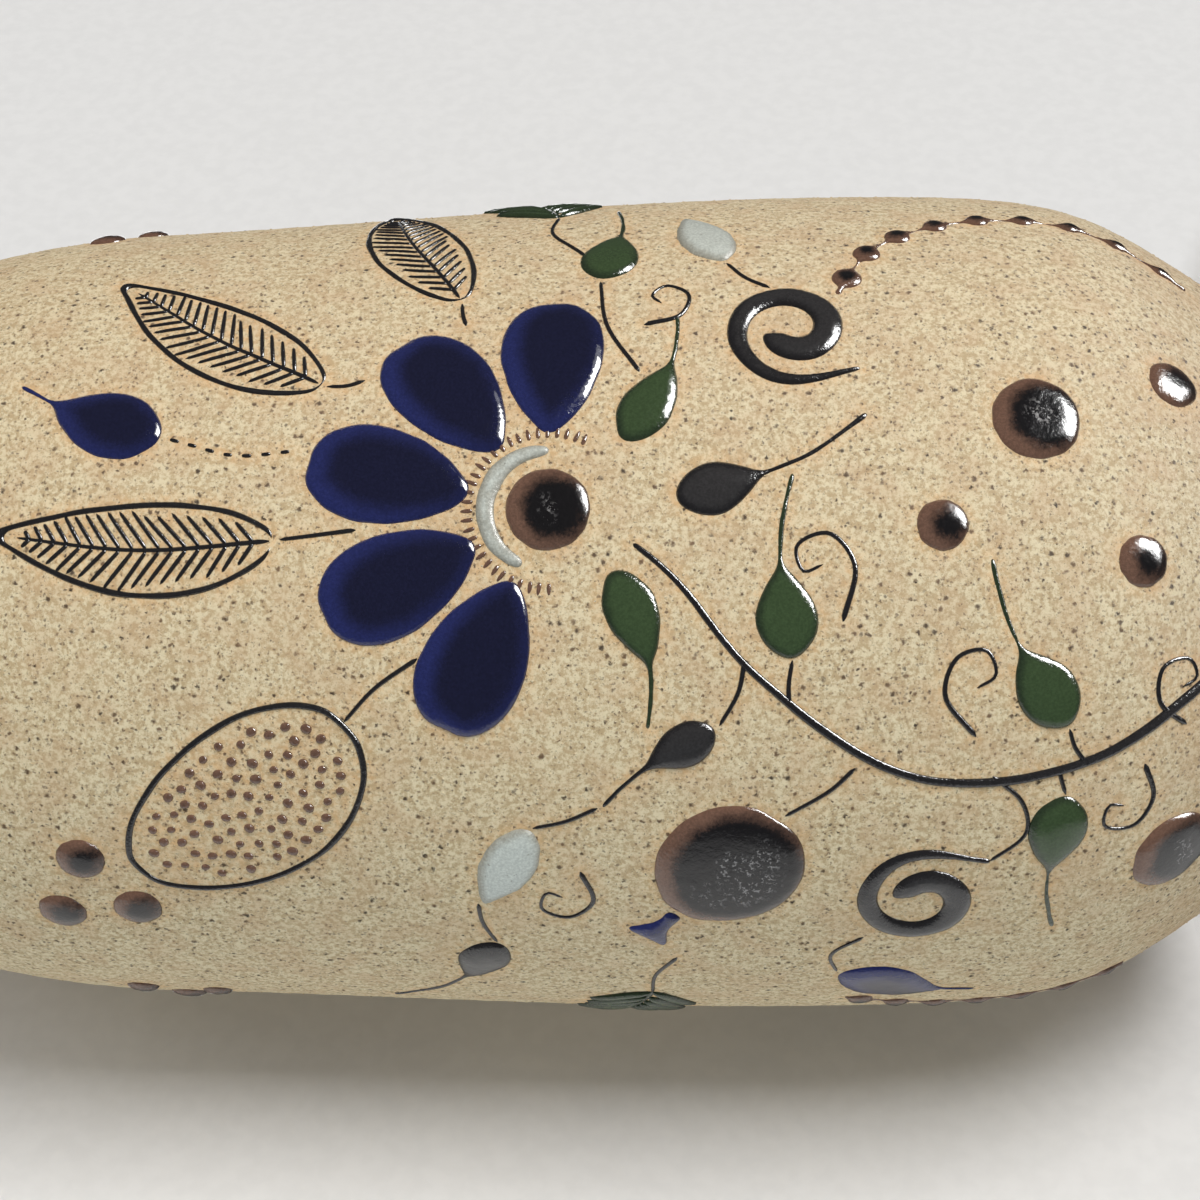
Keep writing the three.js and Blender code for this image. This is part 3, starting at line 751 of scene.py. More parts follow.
class NodeTool(Shader):
    """A Geometry Nodes tree with named inputs, which ends in realised, finished geometry."""

    def __init__(self, name: str, inputs: tuple) -> None:
        """Starts a tree.

        Args:
            name: The tree's name.
            inputs: Rows of name, kind and default, after the geometry that it works on.
        """
        super().__init__(bpy.data.node_groups.new(name, "GeometryNodeTree"))
        self.tree.is_modifier = True
        whole = (("Geometry", "Geometry"),)
        self.sockets("INPUT", whole + inputs + (("Material", "Material"),))
        self.sockets("OUTPUT", whole)
        self.given = self.node("NodeGroupInput").outputs

    def end(self, made: NodeSocket) -> None:
        """Ends the tree in Realize Instances and Set Material."""
        real = self.node("GeometryNodeRealizeInstances", {"Geometry": made}).outputs[0]
        inputs = {"Geometry": real, "Material": self.given["Material"]}
        dressed = self.node("GeometryNodeSetMaterial", inputs)
        self.node("NodeGroupOutput", {"Geometry": dressed.outputs["Geometry"]})

    def lerp(self, share: object, a: object, b: object) -> NodeSocket:
        """A number between two others."""
        return self.node("ShaderNodeMix", {0: share, 2: a, 3: b}, data_type="FLOAT").outputs[0]

    def chance(self, low: object, high: object, seed: object) -> NodeSocket:
        """A random number between two others."""
        inputs = {2: low, 3: high, "Seed": seed}
        return self.node("FunctionNodeRandomValue", inputs, data_type="FLOAT").outputs[1]

    def turned(self, rotation: object, angle: object) -> NodeSocket:
        """A rotation turned further about its own upright."""
        euler = self.node("ShaderNodeCombineXYZ", {2: angle}).outputs[0]
        by = self.node("FunctionNodeEulerToRotation", {0: euler}).outputs[0]
        inputs = {"Rotation": rotation, "Rotate By": by}
        made = self.node("FunctionNodeRotateRotation", inputs, rotation_space="LOCAL")
        return made.outputs[0]

    def strewn(
        self, points: object, form: str, rotation: object, size: tuple, **more: object
    ) -> NodeSocket:
        """Copies of a form on points.

        Args:
            points: The points.
            form: The name of the input that holds the form.
            rotation: How each copy is turned.
            size: Its three sizes.
            **more: Further inputs.

        Returns:
            The copies, as instances.
        """
        held = self.node("GeometryNodeObjectInfo", {"Object": self.given[form]})
        scale = self.node("ShaderNodeCombineXYZ", dict(enumerate(size))).outputs[0]
        inputs = {"Points": points, "Instance": held.outputs["Geometry"], "Rotation": rotation}
        kind = "GeometryNodeInstanceOnPoints"
        return self.node(kind, inputs | {"Scale": scale} | more).outputs[0]

    def run(
        self, source: Mesh, material: Material, values: dict[str, object]
    ) -> Mesh:
        """Runs the tree over a mesh.

        Args:
            source: What it works on, which is thrown away.
            material: What the result is finished with.
            values: Its other inputs by name.

        Returns:
            The result as a plain mesh.
        """
        carrier = linked("carrier", source)
        modifier = carrier.modifiers.new("tool", "NODES")
        modifier.node_group = self.tree
        given = values | {"Material": material}
        for item in self.tree.interface.items_tree:
            if item.item_type == "SOCKET" and item.in_out == "INPUT" and item.name in given:
                modifier[item.identifier] = given[item.name]
        depsgraph = bpy.context.evaluated_depsgraph_get()
        made = bpy.data.meshes.new_from_object(carrier.evaluated_get(depsgraph))
        carrier.modifiers.remove(modifier)
        bpy.data.objects.remove(carrier)
        bpy.data.meshes.remove(source)
        return made


def row_tool() -> NodeTool:
    """Repeats one dab of glaze along a path, on one side or on both, with lengths that swell."""
    t = NodeTool(
        "dabs_along_path",
        (
            ("Dab", "Object"),
            ("Count", "Int", 8),
            ("Lean", "Float", 0.8),
            ("Both Sides", "Bool", True),
            ("Width", "Float", 0.5),
            ("First Length", "Float", 3.0),
            ("Middle Length", "Float", 6.0),
            ("Last Length", "Float", 2.0),
            ("Unevenness", "Float", 0.08),
            ("Seed", "Int", 1),
        ),
    )
    given = t.given
    curve = t.node("GeometryNodeMeshToCurve", {"Mesh": given["Geometry"]}).outputs[0]
    inputs = {"Curve": curve, "Count": given["Count"]}
    points = t.node("GeometryNodeResampleCurve", inputs).outputs[0]
    share = t.node("GeometryNodeSplineParameter").outputs["Factor"]
    early = t.lerp(share, given["First Length"], given["Middle Length"])
    late = t.lerp(share, given["Middle Length"], given["Last Length"])
    length = t.lerp(share, early, late)
    tangent = {"Vector": t.node("GeometryNodeInputTangent").outputs[0]}
    along = t.node("FunctionNodeAlignRotationToVector", tangent, axis="Y", pivot_axis="Z")
    low, high = t.less(1.0, given["Unevenness"]), t.add(1.0, given["Unevenness"])
    both = t.node("GeometryNodeJoinGeometry")
    for side, seed_step in ((-1.0, 0.0), (1.0, 7.0)):
        uneven = t.chance(low, high, t.add(given["Seed"], seed_step))
        turn = t.turned(along.outputs["Rotation"], t.mul(t.mul(given["Lean"], side), uneven))
        size = (given["Width"], t.mul(length, uneven), given["Width"])
        more = {"Selection": given["Both Sides"]} if side > 0 else {}
        t.tree.links.new(t.strewn(points, "Dab", turn, size, **more), both.inputs[0])
    t.end(both.outputs[0])
    return t


def scatter_tool() -> NodeTool:
    """Scatters one small form over faces, no two closer than a spacing."""
    t = NodeTool(
        "grains_over_faces",
        (
            ("Grain", "Object"),
            ("Spacing", "Float", 2.0),
            ("Density", "Float", 1.0),
            ("Smallest", "Float", 0.5),
            ("Largest", "Float", 1.0),
            ("Flatness", "Float", 0.6),
            ("Seed", "Int", 1),
        ),
    )
    given, seed = t.given, t.given["Seed"]
    inputs = {"Mesh": given["Geometry"], "Distance Min": given["Spacing"], "Seed": seed}
    kind = "GeometryNodeDistributePointsOnFaces"
    more = {"Density Max": given["Density"]}
    spread = t.node(kind, inputs | more, distribute_method="POISSON").outputs
    size = t.chance(given["Smallest"], given["Largest"], seed)
    turn = t.turned(spread["Rotation"], t.chance(0.0, 6.283, seed))
    sizes = (size, size, t.mul(size, given["Flatness"]))
    t.end(t.strewn(spread["Points"], "Grain", turn, sizes))
    return t


def line_tool() -> NodeTool:
    """Draws a raised line along a path, thick at one end and thin at the other."""
    t = NodeTool(
        "drawn_line",
        (
            ("First Half Width", "Float", 0.5),
            ("Last Half Width", "Float", 0.25),
            ("Spacing", "Float", 0.8),
            ("Flatness", "Float", 0.75),
        ),
    )
    given = t.given
    curve = t.node("GeometryNodeMeshToCurve", {"Mesh": given["Geometry"]}).outputs[0]
    inputs = {"Curve": curve, "Length": given["Spacing"]}
    fine = t.node("GeometryNodeResampleCurve", inputs, mode="LENGTH").outputs[0]
    share = t.node("GeometryNodeSplineParameter").outputs["Factor"]
    width = t.lerp(share, given["First Half Width"], given["Last Half Width"])
    middle = t.less(1.0, t.math("ABSOLUTE", t.math("MULTIPLY_ADD", share, 2.0, -1.0)))
    blunt = t.math("MINIMUM", 1.0, t.math("MULTIPLY_ADD", middle, 14.0, 0.06))
    ring = t.node("GeometryNodeCurvePrimitiveCircle", {"Resolution": 8, "Radius": 1.0})
    inputs = {"Curve": fine, "Profile Curve": ring.outputs[0], "Fill Caps": True}
    scale = {"Scale": t.mul(width, t.math("POWER", blunt, 0.5))}
    tube = t.node("GeometryNodeCurveToMesh", inputs | scale).outputs[0]
    flat = t.node("ShaderNodeCombineXYZ", {0: 1.0, 1: 1.0, 2: given["Flatness"]}).outputs[0]
    t.end(t.node("GeometryNodeTransform", {"Geometry": tube, "Scale": flat}).outputs[0])
    return t


@contextmanager
def element(mesh: Mesh) -> Iterator[Object]:
    """A form for the trees to repeat, which is removed after its use."""
    made = linked("element", mesh)
    yield made
    bpy.data.objects.remove(made)
    bpy.data.meshes.remove(mesh)


def path_mesh(points: np.ndarray) -> Mesh:
    """A smooth line through flat points, as a mesh of edges."""
    data = bpy.data.meshes.new("path")
    flat = [(float(x), float(y), 0.0) for x, y in spline(points, False)]
    data.from_pydata(flat, [(i, i + 1) for i in range(len(flat) - 1)], [])
    return data


@dataclass(frozen=True)
class Dab:
    """One touch of glaze of unit length and width, which grows from y = 0 or lies round it."""

    base: float = 0.5
    tip: float = 0.5
    rows: int = 5
    height: float = 0.5
    depth: float = 0.5
    centred: bool = False
    across: tuple[float, ...] = (-1.0, -0.62, 0.0, 0.62, 1.0)
    sunk: float = 0.04

    def mesh(self) -> Mesh:
        """Builds it with few faces, closed and sunk a little into the clay."""
        shares = (1 - np.cos(np.linspace(0.0, math.pi, self.rows + 2))) / 2
        start = 0.5 if self.centred else 0.0
        points, depth = [], []
        for share in shares[1:-1]:
            half = 0.5 * float(swelling(np.array(share), self.base, self.tip))
            for s in self.across:
                lift = self.height * math.sqrt(max(0.0, 1 - s * s)) * (2 * half) ** 0.5
                points.append((s * half, share - start, lift - self.sunk))
                depth.append(self.depth * 2 * half * (1 - abs(s)))
            for s in (0.7, -0.7):
                points.append((s * half, share - start, -0.25 * self.height - self.sunk))
                depth.append(0.0)
        size, count = len(self.across) + 2, self.rows
        points += [(0.0, -start, -0.06), (0.0, 1.0 - start, -0.06)]
        depth += [0.0, 0.0]
        faces: list[tuple[int, ...]] = []
        for a in range((count - 1) * size):
            b = a - a % size + (a + 1) % size
            faces.append((a, b, b + size, a + size))
        last = (count - 1) * size
        for j in range(size):
            faces.append(((j + 1) % size, j, size * count))
            faces.append((last + j, last + (j + 1) % size, size * count + 1))
        return Skin(np.array(points), faces, {"depth": np.array(depth)}).mesh("dab")


@dataclass(frozen=True)
class Strokes:
    """Touches of glaze along a path, and the half widths of the stem that carries them."""

    dab: Dab
    count: int
    lean: float
    width: float
    lengths: tuple[float, float, float]
    unevenness: float = 0.08
    both_sides: bool = True
    stem: tuple[float, float] = (0.5, 0.3)

    def values(self, seed: int) -> dict[str, object]:
        """The inputs of the row tool, without its dab."""
        return {
            "Count": self.count,
            "Lean": self.lean,
            "Both Sides": self.both_sides,
            "Width": self.width,
            "First Length": self.lengths[0],
            "Middle Length": self.lengths[1],
            "Last Length": self.lengths[2],
            "Unevenness": self.unevenness,
            "Seed": seed,
        }


@dataclass(frozen=True)
class Scatter:
    """How small forms are strewn: the least gap, the density, their sizes and the seed."""

    spacing: float
    density: float
    sizes: tuple[float, float]
    flatness: float
    seed: int

    def over(
        self,
        tool: NodeTool,
        ground: Mesh,
        form: Mesh,
        material: Material,
    ) -> Mesh:
        """Strews a form over faces.

        Args:
            tool: The scatter tool.
            ground: The faces, which are thrown away.
            form: What is strewn, which is thrown away.
            material: What it is finished with.

        Returns:
            The result as a plain mesh.
        """
        values = {
            "Spacing": self.spacing,
            "Density": self.density,
            "Smallest": self.sizes[0],
            "Largest": self.sizes[1],
            "Flatness": self.flatness,
            "Seed": self.seed,
        }
        with element(form) as grain:
            return tool.run(ground, material, values | {"Grain": grain})


def filled(points: np.ndarray, loops: list[np.ndarray]) -> np.ndarray:
    """Triangles between points, within loops whose points come first."""
    edges, start = [], 0
    for loop in loops:
        edges += [(start + i, start + (i + 1) % len(loop)) for i in range(len(loop))]
        start += len(loop)
    coords = [Vector((float(x), float(y))) for x, y in points]
    made = geometry.delaunay_2d_cdt(coords, edges, [], 0, 1e-6, True)
    origin = [ids[0] if ids else -1 for ids in made[3]]
    faces = np.array([[origin[i] for i in face] for face in made[2] if len(face) == 3])
    faces = faces[(faces >= 0).all(1)]
    faces = faces[inside(points[faces].mean(1), loops)]
    a, b, c = (points[faces[:, k]] for k in range(3))
    turn = (b[:, 0] - a[:, 0]) * (c[:, 1] - a[:, 1]) - (b[:, 1] - a[:, 1]) * (c[:, 0] - a[:, 0])
    faces[turn < 0] = faces[turn < 0][:, ::-1]
    return faces


@dataclass
class GlazePad:
    """A raised pad of glaze with a rounded edge, laid on the clay inside one or two outlines."""

    edge: float = 2.1
    crown: float = 0.98
    swell: float = 0.34
    swell_reach: float = 6.5
    spacing: float = 0.55
    grid: float = 0.85
    wobble: float = 0.1
    rounding: int = 4
    rings: tuple[float, ...] = (0.1, 0.26, 0.5, 0.85)
    sink: float = 0.03
    under: float = 0.3
    sag: float = 0.08
    darkening: float = 1.0

    def uneven(self, loop: np.ndarray, seed: int) -> np.ndarray:
        """Gives an outline the slight unsteadiness of a hand.

        Args:
            loop: Evenly spaced points.
            seed: Which unsteadiness.

        Returns:
            The points moved in or out.
        """
        chance = np.random.default_rng(seed)
        turn = np.linspace(0.0, 2 * math.pi, len(loop), endpoint=False)
        push = np.zeros(len(loop))
        for waves in (3, 5, 8, 13):
            push += chance.uniform(0.2, 0.5) * np.sin(waves * turn + chance.uniform(0, 6.28))
        return loop + (self.wobble * push)[:, None] * inward(loop)

    def lift(self, depth: np.ndarray) -> np.ndarray:
        """The height of the glaze at each distance from its edge."""
        near = 1 - np.minimum(depth, self.edge) / self.edge
        dome = np.maximum(0.0, 1 - near**2) ** 0.72
        rise = 1 - (1 - np.minimum(depth, self.swell_reach) / self.swell_reach) ** 2
        return self.crown * dome + self.swell * rise

    def edges(self, outlines: list[np.ndarray], seed: int) -> list[np.ndarray]:
        """The pad's outlines as a hand would draw them, the outer one first."""
        loops = []
        for k, outline in enumerate(sorted(outlines, key=lambda o: -abs(area(o)))):
            loop = evenly(spline(outline, True), self.spacing, True)
            if (area(loop) > 0) != (k == 0):
                loop = loop[::-1]
            for _ in range(self.rounding):
                loop = 0.5 * loop + 0.25 * (np.roll(loop, 1, 0) + np.roll(loop, -1, 0))
            loops.append(self.uneven(loop, seed + k))
        return loops

    def middle(self, loops: list[np.ndarray]) -> list[np.ndarray]:
        """The points inside the outlines: rings near the edge, then a grid."""
        inner = [np.empty((0, 2))]
        for loop in loops:
            for k, inset in enumerate(self.rings):
                ring = (loop + inset * inward(loop))[k % 2 :: 1 + k // 2]
                kept = (distance(ring, loops) > 0.9 * inset) & inside(ring, loops)
                inner.append(ring[kept])
        low, high = np.vstack(loops).min(0), np.vstack(loops).max(0)
        steps = (self.grid, self.grid * 0.866)
        gx, gy = np.meshgrid(*(np.arange(low[k], high[k], steps[k]) for k in (0, 1)))
        gx[1::2] += self.grid / 2
        grid = np.column_stack([gx.ravel(), gy.ravel()])
        grid = grid[inside(grid, loops)]
        if len(grid):
            inner.append(grid[distance(grid, loops) > self.rings[-1] + 0.5 * self.grid])
        return inner

    def skin(self, outlines: list[np.ndarray], seed: int) -> Skin:
        """Builds the pad in the flat drawing.

        Args:
            outlines: Its outer outline, and an inner one where it is drawn round a bare middle.
            seed: Which unsteadiness its edge has.

        Returns:
            The closed skin, with its depth of glaze from the edge inwards.
        """
        loops = self.edges(outlines, seed)
        edge = np.vstack(loops)
        points = np.vstack([edge, *self.middle(loops)])
        top = filled(points, loops)
        depth = distance(points, loops)
        depth[: len(edge)] = 0.0
        low, high = edge[:, 1].min(), edge[:, 1].max()
        run = ((low + high) / 2 - points[:, 1]) / max(2.0, (high - low) / 2)
        lifted = self.lift(depth) * (1 + self.sag * run) - self.sink
        height = self._rounded(lifted, top, len(edge))
        base = len(points)
        faces = top.tolist() + (filled(edge, loops)[:, [0, 2, 1]] + base).tolist()
        start = 0
        for loop in loops:
            for i in range(len(loop)):
                a, b = start + i, start + (i + 1) % len(loop)
                faces.append((b, a, a + base, b + base))
            start += len(loop)
        flat = np.column_stack([points, height])
        under = np.column_stack([edge, np.full(len(edge), -self.under)])
        values = {"depth": np.concatenate([self.darkening * depth, np.zeros(len(edge))])}
        values["run"] = np.concatenate([run, run[: len(edge)]]) / self.darkening
        return Skin(np.vstack([flat, under]), faces, values)

    @staticmethod
    def _rounded(height: np.ndarray, faces: np.ndarray, fixed: int) -> np.ndarray:
        """Softens the ridge of a narrow pad, with its outline kept."""
        pairs = np.vstack([faces[:, [0, 1]], faces[:, [1, 2]], faces[:, [2, 0]]])
        for _ in range(3):
            total, count = np.zeros(len(height)), np.zeros(len(height))
            for a, b in ((0, 1), (1, 0)):
                np.add.at(total, pairs[:, a], height[pairs[:, b]])
                np.add.at(count, pairs[:, a], 1.0)
            eased = 0.55 * height + 0.45 * (total / np.maximum(count, 1.0))
            eased[:fixed] = height[:fixed]
            height = eased
        return height


@dataclass
class Painting:
    """The raised glaze painting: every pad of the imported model, drawn finely at its own place."""

    wall: ThrownWall
    materials: dict[Finish, Material]
    pad: GlazePad = field(default_factory=GlazePad)
    beads: GlazePad = field(
        default_factory=lambda: GlazePad(edge=1.7, wobble=0.05, rounding=1, darkening=2.2)
    )
    outlines: list[np.ndarray] = field(default_factory=list)

    def loops(self, node: str) -> list[np.ndarray]:
        """The outlines of a packed pad's seat, in the flat drawing.

        Args:
            node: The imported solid.

        Returns:
            One outline, or two for a drawn ring.
        """
        bm = bmesh.new()
        bm.from_mesh(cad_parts[node].data)
        bmesh.ops.remove_doubles(bm, verts=bm.verts, dist=1e-6)
        middle = sum((v.co for v in bm.verts), Vector()) / len(bm.verts)
        facing = math.atan2(middle.x, -middle.y)
        under = set()
        for face in bm.faces:
            centre = face.calc_center_median()
            if face.normal.dot(Vector((centre.x, centre.y, 0.0)).normalized()) < -0.4:
                under.add(face)
        follow: dict[int, int] = {}
        for face in bm.faces:
            for loop in face.loops if face in under else ():
                if sum(f in under for f in loop.edge.link_faces) == 1:
                    follow[loop.vert.index] = loop.link_loop_next.vert.index
        bm.verts.ensure_lookup_table()
        found = []
        while follow:
            here = next(iter(follow))
            points = []
            while here in follow:
                x, y, z = bm.verts[here].co / MM
                turn = (math.atan2(x, -y) - facing + math.pi) % (2 * math.pi) - math.pi
                points.append(((facing + turn) * BELLY, z))
                here = follow.pop(here)
            found.append(np.array(points))
        bm.free()
        return found

    def lay(self, name: str, skin: Skin, finish: Finish, *nodes: str) -> None:
        """Wraps a flat skin round the pot and adds it."""
        skin.points = self.wall.wrap(skin.points)
        add_piece(name, skin.mesh(name), self.materials[finish], finish, *nodes)

    def draw(
        self, name: str, pad: GlazePad, loops: list[np.ndarray], finish: Finish, *nodes: str
    ) -> None:
        """Draws one pad, with an edge that depends on its name without its ending.

        Args:
            name: The piece's name.
            pad: How it is laid.
            loops: Its outlines.
            finish: Its glaze.
            *nodes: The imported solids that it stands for.
        """
        seed = zlib.crc32(name.removesuffix("_glaze").encode())
        self.lay(name, pad.skin(loops, seed), finish, *nodes)

    def build(self, nodes: dict[str, Finish], left_out: set[str]) -> None:
        """Draws every pad.

        Args:
            nodes: Each packed pad and its finish.
            left_out: Pads that another class draws.
        """
        for name, finish in nodes.items():
            loops = self.loops(name)
            self.outlines += [evenly(spline(loop, True), 1.2, True) for loop in loops]
            if name not in left_out:
                pad = self.beads if name.startswith("bead_thread") else self.pad
                self.draw(f"{name}_glaze", pad, loops, finish, name)


@dataclass
class LineWork:
    """Ferns, hatching, stipple, twigs and dashes, which repeat along paths or over places."""

    painting: Painting
    outline_half: float = 0.52
    fern_leaves: Strokes = Strokes(
        Dab(0.6, 0.75, 6, 0.42, 1.6), 11, 0.86, 2.5, (12.5, 13.5, 5.0), 0.07
    )
    hatching: Strokes = Strokes(
        Dab(0.16, 0.22, 4, 0.4), 18, 0.92, 0.82, (4.6, 12.6, 1.8), 0.06, stem=(0.42, 0.28)
    )
    sprig_leaves: Strokes = Strokes(
        Dab(0.75, 0.6, 6, 0.3, 1.6), 7, 0.78, 3.6, (7.5, 13.0, 5.0), 0.1, stem=(0.6, 0.3)
    )
    stipple_dot: Dab = Dab(0.5, 0.5, 5, 0.34, 0.9, True)
    stipple_dots: Scatter = Scatter(2.75, 4.0, (1.45, 2.0), 0.8, 4)

    def __post_init__(self) -> None:
        """Builds the node trees once."""
        self.rows, self.scatter, self.lines = row_tool(), scatter_tool(), line_tool()
        self.wall, self.materials = self.painting.wall, self.painting.materials

    def settle(
        self, name: str, meshes: list, place: Place | None, finish: Finish, *nodes: str
    ) -> None:
        """Joins flat meshes, wraps them round the pot and adds them as one piece.

        Args:
            name: The piece's name.
            meshes: Meshes in a motif's own millimetres, or in the flat drawing.
            place: The motif's place, or None where they are in the flat drawing already.
            finish: What the piece is finished with.
            *nodes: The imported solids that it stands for.
        """
        joint = bmesh.new()
        for data in meshes:
            joint.from_mesh(data)
            bpy.data.meshes.remove(data)
        made = bpy.data.meshes.new(name)
        joint.to_mesh(made)
        joint.free()
        co = np.empty(len(made.vertices) * 3)
        made.vertices.foreach_get("co", co)
        flat = co.reshape(-1, 3)
        if place is not None:
            flat = place.flat(flat, self.wall)
        made.vertices.foreach_set("co", self.wall.wrap(flat).ravel())
        made.polygons.foreach_set("use_smooth", [True] * len(made.polygons))
        made.update()
        self.painting.outlines.append(flat[::6, :2])
        add_piece(name, made, self.materials[finish], finish, *nodes)

    def line(self, path: np.ndarray, halves: tuple[float, float], finish: Finish) -> Mesh:
        """A raised line along a path, with the half widths of its two ends, as a mesh."""
        values = {"First Half Width": halves[0], "Last Half Width": halves[1]}
        return self.lines.run(path_mesh(path), self.materials[finish], values)

    def row(self, path: np.ndarray, kind: Strokes, seed: int, finish: Finish) -> Mesh:
        """Dabs along a path, as a mesh."""
        with element(kind.dab.mesh()) as dab:
            values = kind.values(seed) | {"Dab": dab}
            return self.rows.run(path_mesh(path), self.materials[finish], values)

    @staticmethod
    def bent(length: float, bend: float) -> np.ndarray:
        """A path upwards whose tip bends to one side."""
        return np.array([(0.0, 0.0), (bend * 0.25, length * 0.5), (bend, length)])

    def fern(self, name: str, place: Place, bend: float, length: float = 38.0) -> None:
        """A fern of long leaflets in pairs on a thin stem.

        Args:
            name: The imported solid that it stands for.
            place: Its place.
            bend: How far its tip bends to one side.
            length: From end to end.
        """
        path, kind, green = self.bent(length, bend), self.fern_leaves, Finish.LEAF_GREEN
        meshes = [self.row(path * 0.97, kind, len(name), green), self.line(path, kind.stem, green)]
        self.settle(f"{name}_glaze", meshes, place, green, name)

    def plume(
        self, name: str, place: Place, bend: float, packed: bool, length: float = 46.0
    ) -> None:
        """A plume: its drawn outline, its quill and the slanting strokes on both sides of it.

        Args:
            name: Its name.
            place: Its place.
            bend: How far its tip bends to one side.
            packed: Whether it stands for a packed outline of that name.
            length: From end to end.
        """
        half_width, black, kind = 7.5, Finish.CHARCOAL, self.hatching
        fine = evenly(spline(self.bent(length, bend), False), 0.25, False)
        along = unit(np.gradient(fine, axis=0))
        across = np.column_stack([along[:, 1], -along[:, 0]])
        share = np.linspace(0.0, 1.0, len(fine))
        reach = half_width * swelling(share, 0.75, 1.05)
        flat = []
        for line in (self.outline_half, -self.outline_half):
            kept = (reach + line > self.outline_half) & (share > 0.012) & (share < 0.988)
            side = (reach[kept] + line)[:, None] * across[kept]
            ring = np.vstack([fine[kept] + side, (fine[kept] - side)[::-1]])[::4]
            ring = np.column_stack([ring, np.zeros(len(ring))])
            flat.append(place.flat(ring, self.wall)[:, :2])
        nodes = (name,) if packed else ()
        self.painting.draw(f"{name}_glaze", self.painting.pad, flat, black, *nodes)
        if not packed:
            self.painting.outlines += flat
        quill, barbs = (
            fine[int(len(fine) * low) : int(len(fine) * high)][::9]
            for low, high in ((0.03, 0.93), (0.08, 0.87))
        )
        strokes = self.row(barbs, kind, len(name) + 3, black)
        self.settle(
            f"{name}_hatching", [strokes, self.line(quill, kind.stem, black)], place, black
        )

    def twigs(self, name: str, paths: tuple, halves: tuple[float, float]) -> None:
        """Thin dark lines in the flat drawing as one piece, with the half widths of their ends."""
        black = Finish.CHARCOAL
        made = [self.line(np.array(path, dtype=float), halves, black) for path in paths]
        self.settle(name, made, None, black)

    def sprig(self, name: str, place: Place, length: float, bend: float, finish: Finish) -> None:
        """A thin sprig with one plump leaf on each side at every step."""
        steps = ((0.0, 0.0), (0.1, 0.35), (0.45, 0.7), (1.0, 1.0))
        path = np.array([(bend * side, length * up) for side, up in steps])
        kind, seed = self.sprig_leaves, len(name) + int(length)
        leaves = self.row(path * 0.96, kind, seed, finish)
        self.settle(name, [leaves, self.line(path, kind.stem, finish)], place, finish)

    def berries(self, name: str, spots: tuple, finish: Finish) -> None:
        """Round pads of glaze, each a piece of its own.

        Args:
            name: What their names start with.
            spots: Rows of around, up and radius.
            finish: Their glaze.
        """
        turns = np.linspace(0.0, 2 * math.pi, 24, endpoint=False)
        circle = np.column_stack([np.cos(turns), np.sin(turns)])
        for k, (around, up, radius) in enumerate(spots, start=1):
            loop = np.array([around, up]) + radius * circle
            self.painting.outlines.append(loop)
            self.painting.draw(f"{name}_{k}", self.painting.pad, [loop], finish)

    def stipple(self, name: str, node: str, finish: Finish, shrink: float) -> None:
        """Dots scattered inside a drawn outline.

        Args:
            name: The piece's name.
            node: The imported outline.
            finish: The dots' glaze.
            shrink: The share of the outline's width that they fill.
        """
        loop = min(self.painting.loops(node), key=lambda o: abs(area(o)))
        loop = evenly(spline(loop, True), 2.0, True)
        bounds = loop.mean(0) + (loop - loop.mean(0)) * shrink
        faces = filled(bounds, [bounds]).tolist()
        ground = Skin(np.column_stack([bounds, np.zeros(len(bounds))]), faces).mesh("ground")
        form, material = self.stipple_dot.mesh(), self.materials[finish]
        dots = self.stipple_dots.over(self.scatter, ground, form, material)
        self.settle(name, [dots], None, finish)


def equal(dab: Dab, count: int, width: float, length: float, lean: float = 0.0) -> Strokes:
    """Equal dabs in one row."""
    return Strokes(dab, count, lean, width, (length,) * 3, both_sides=False)


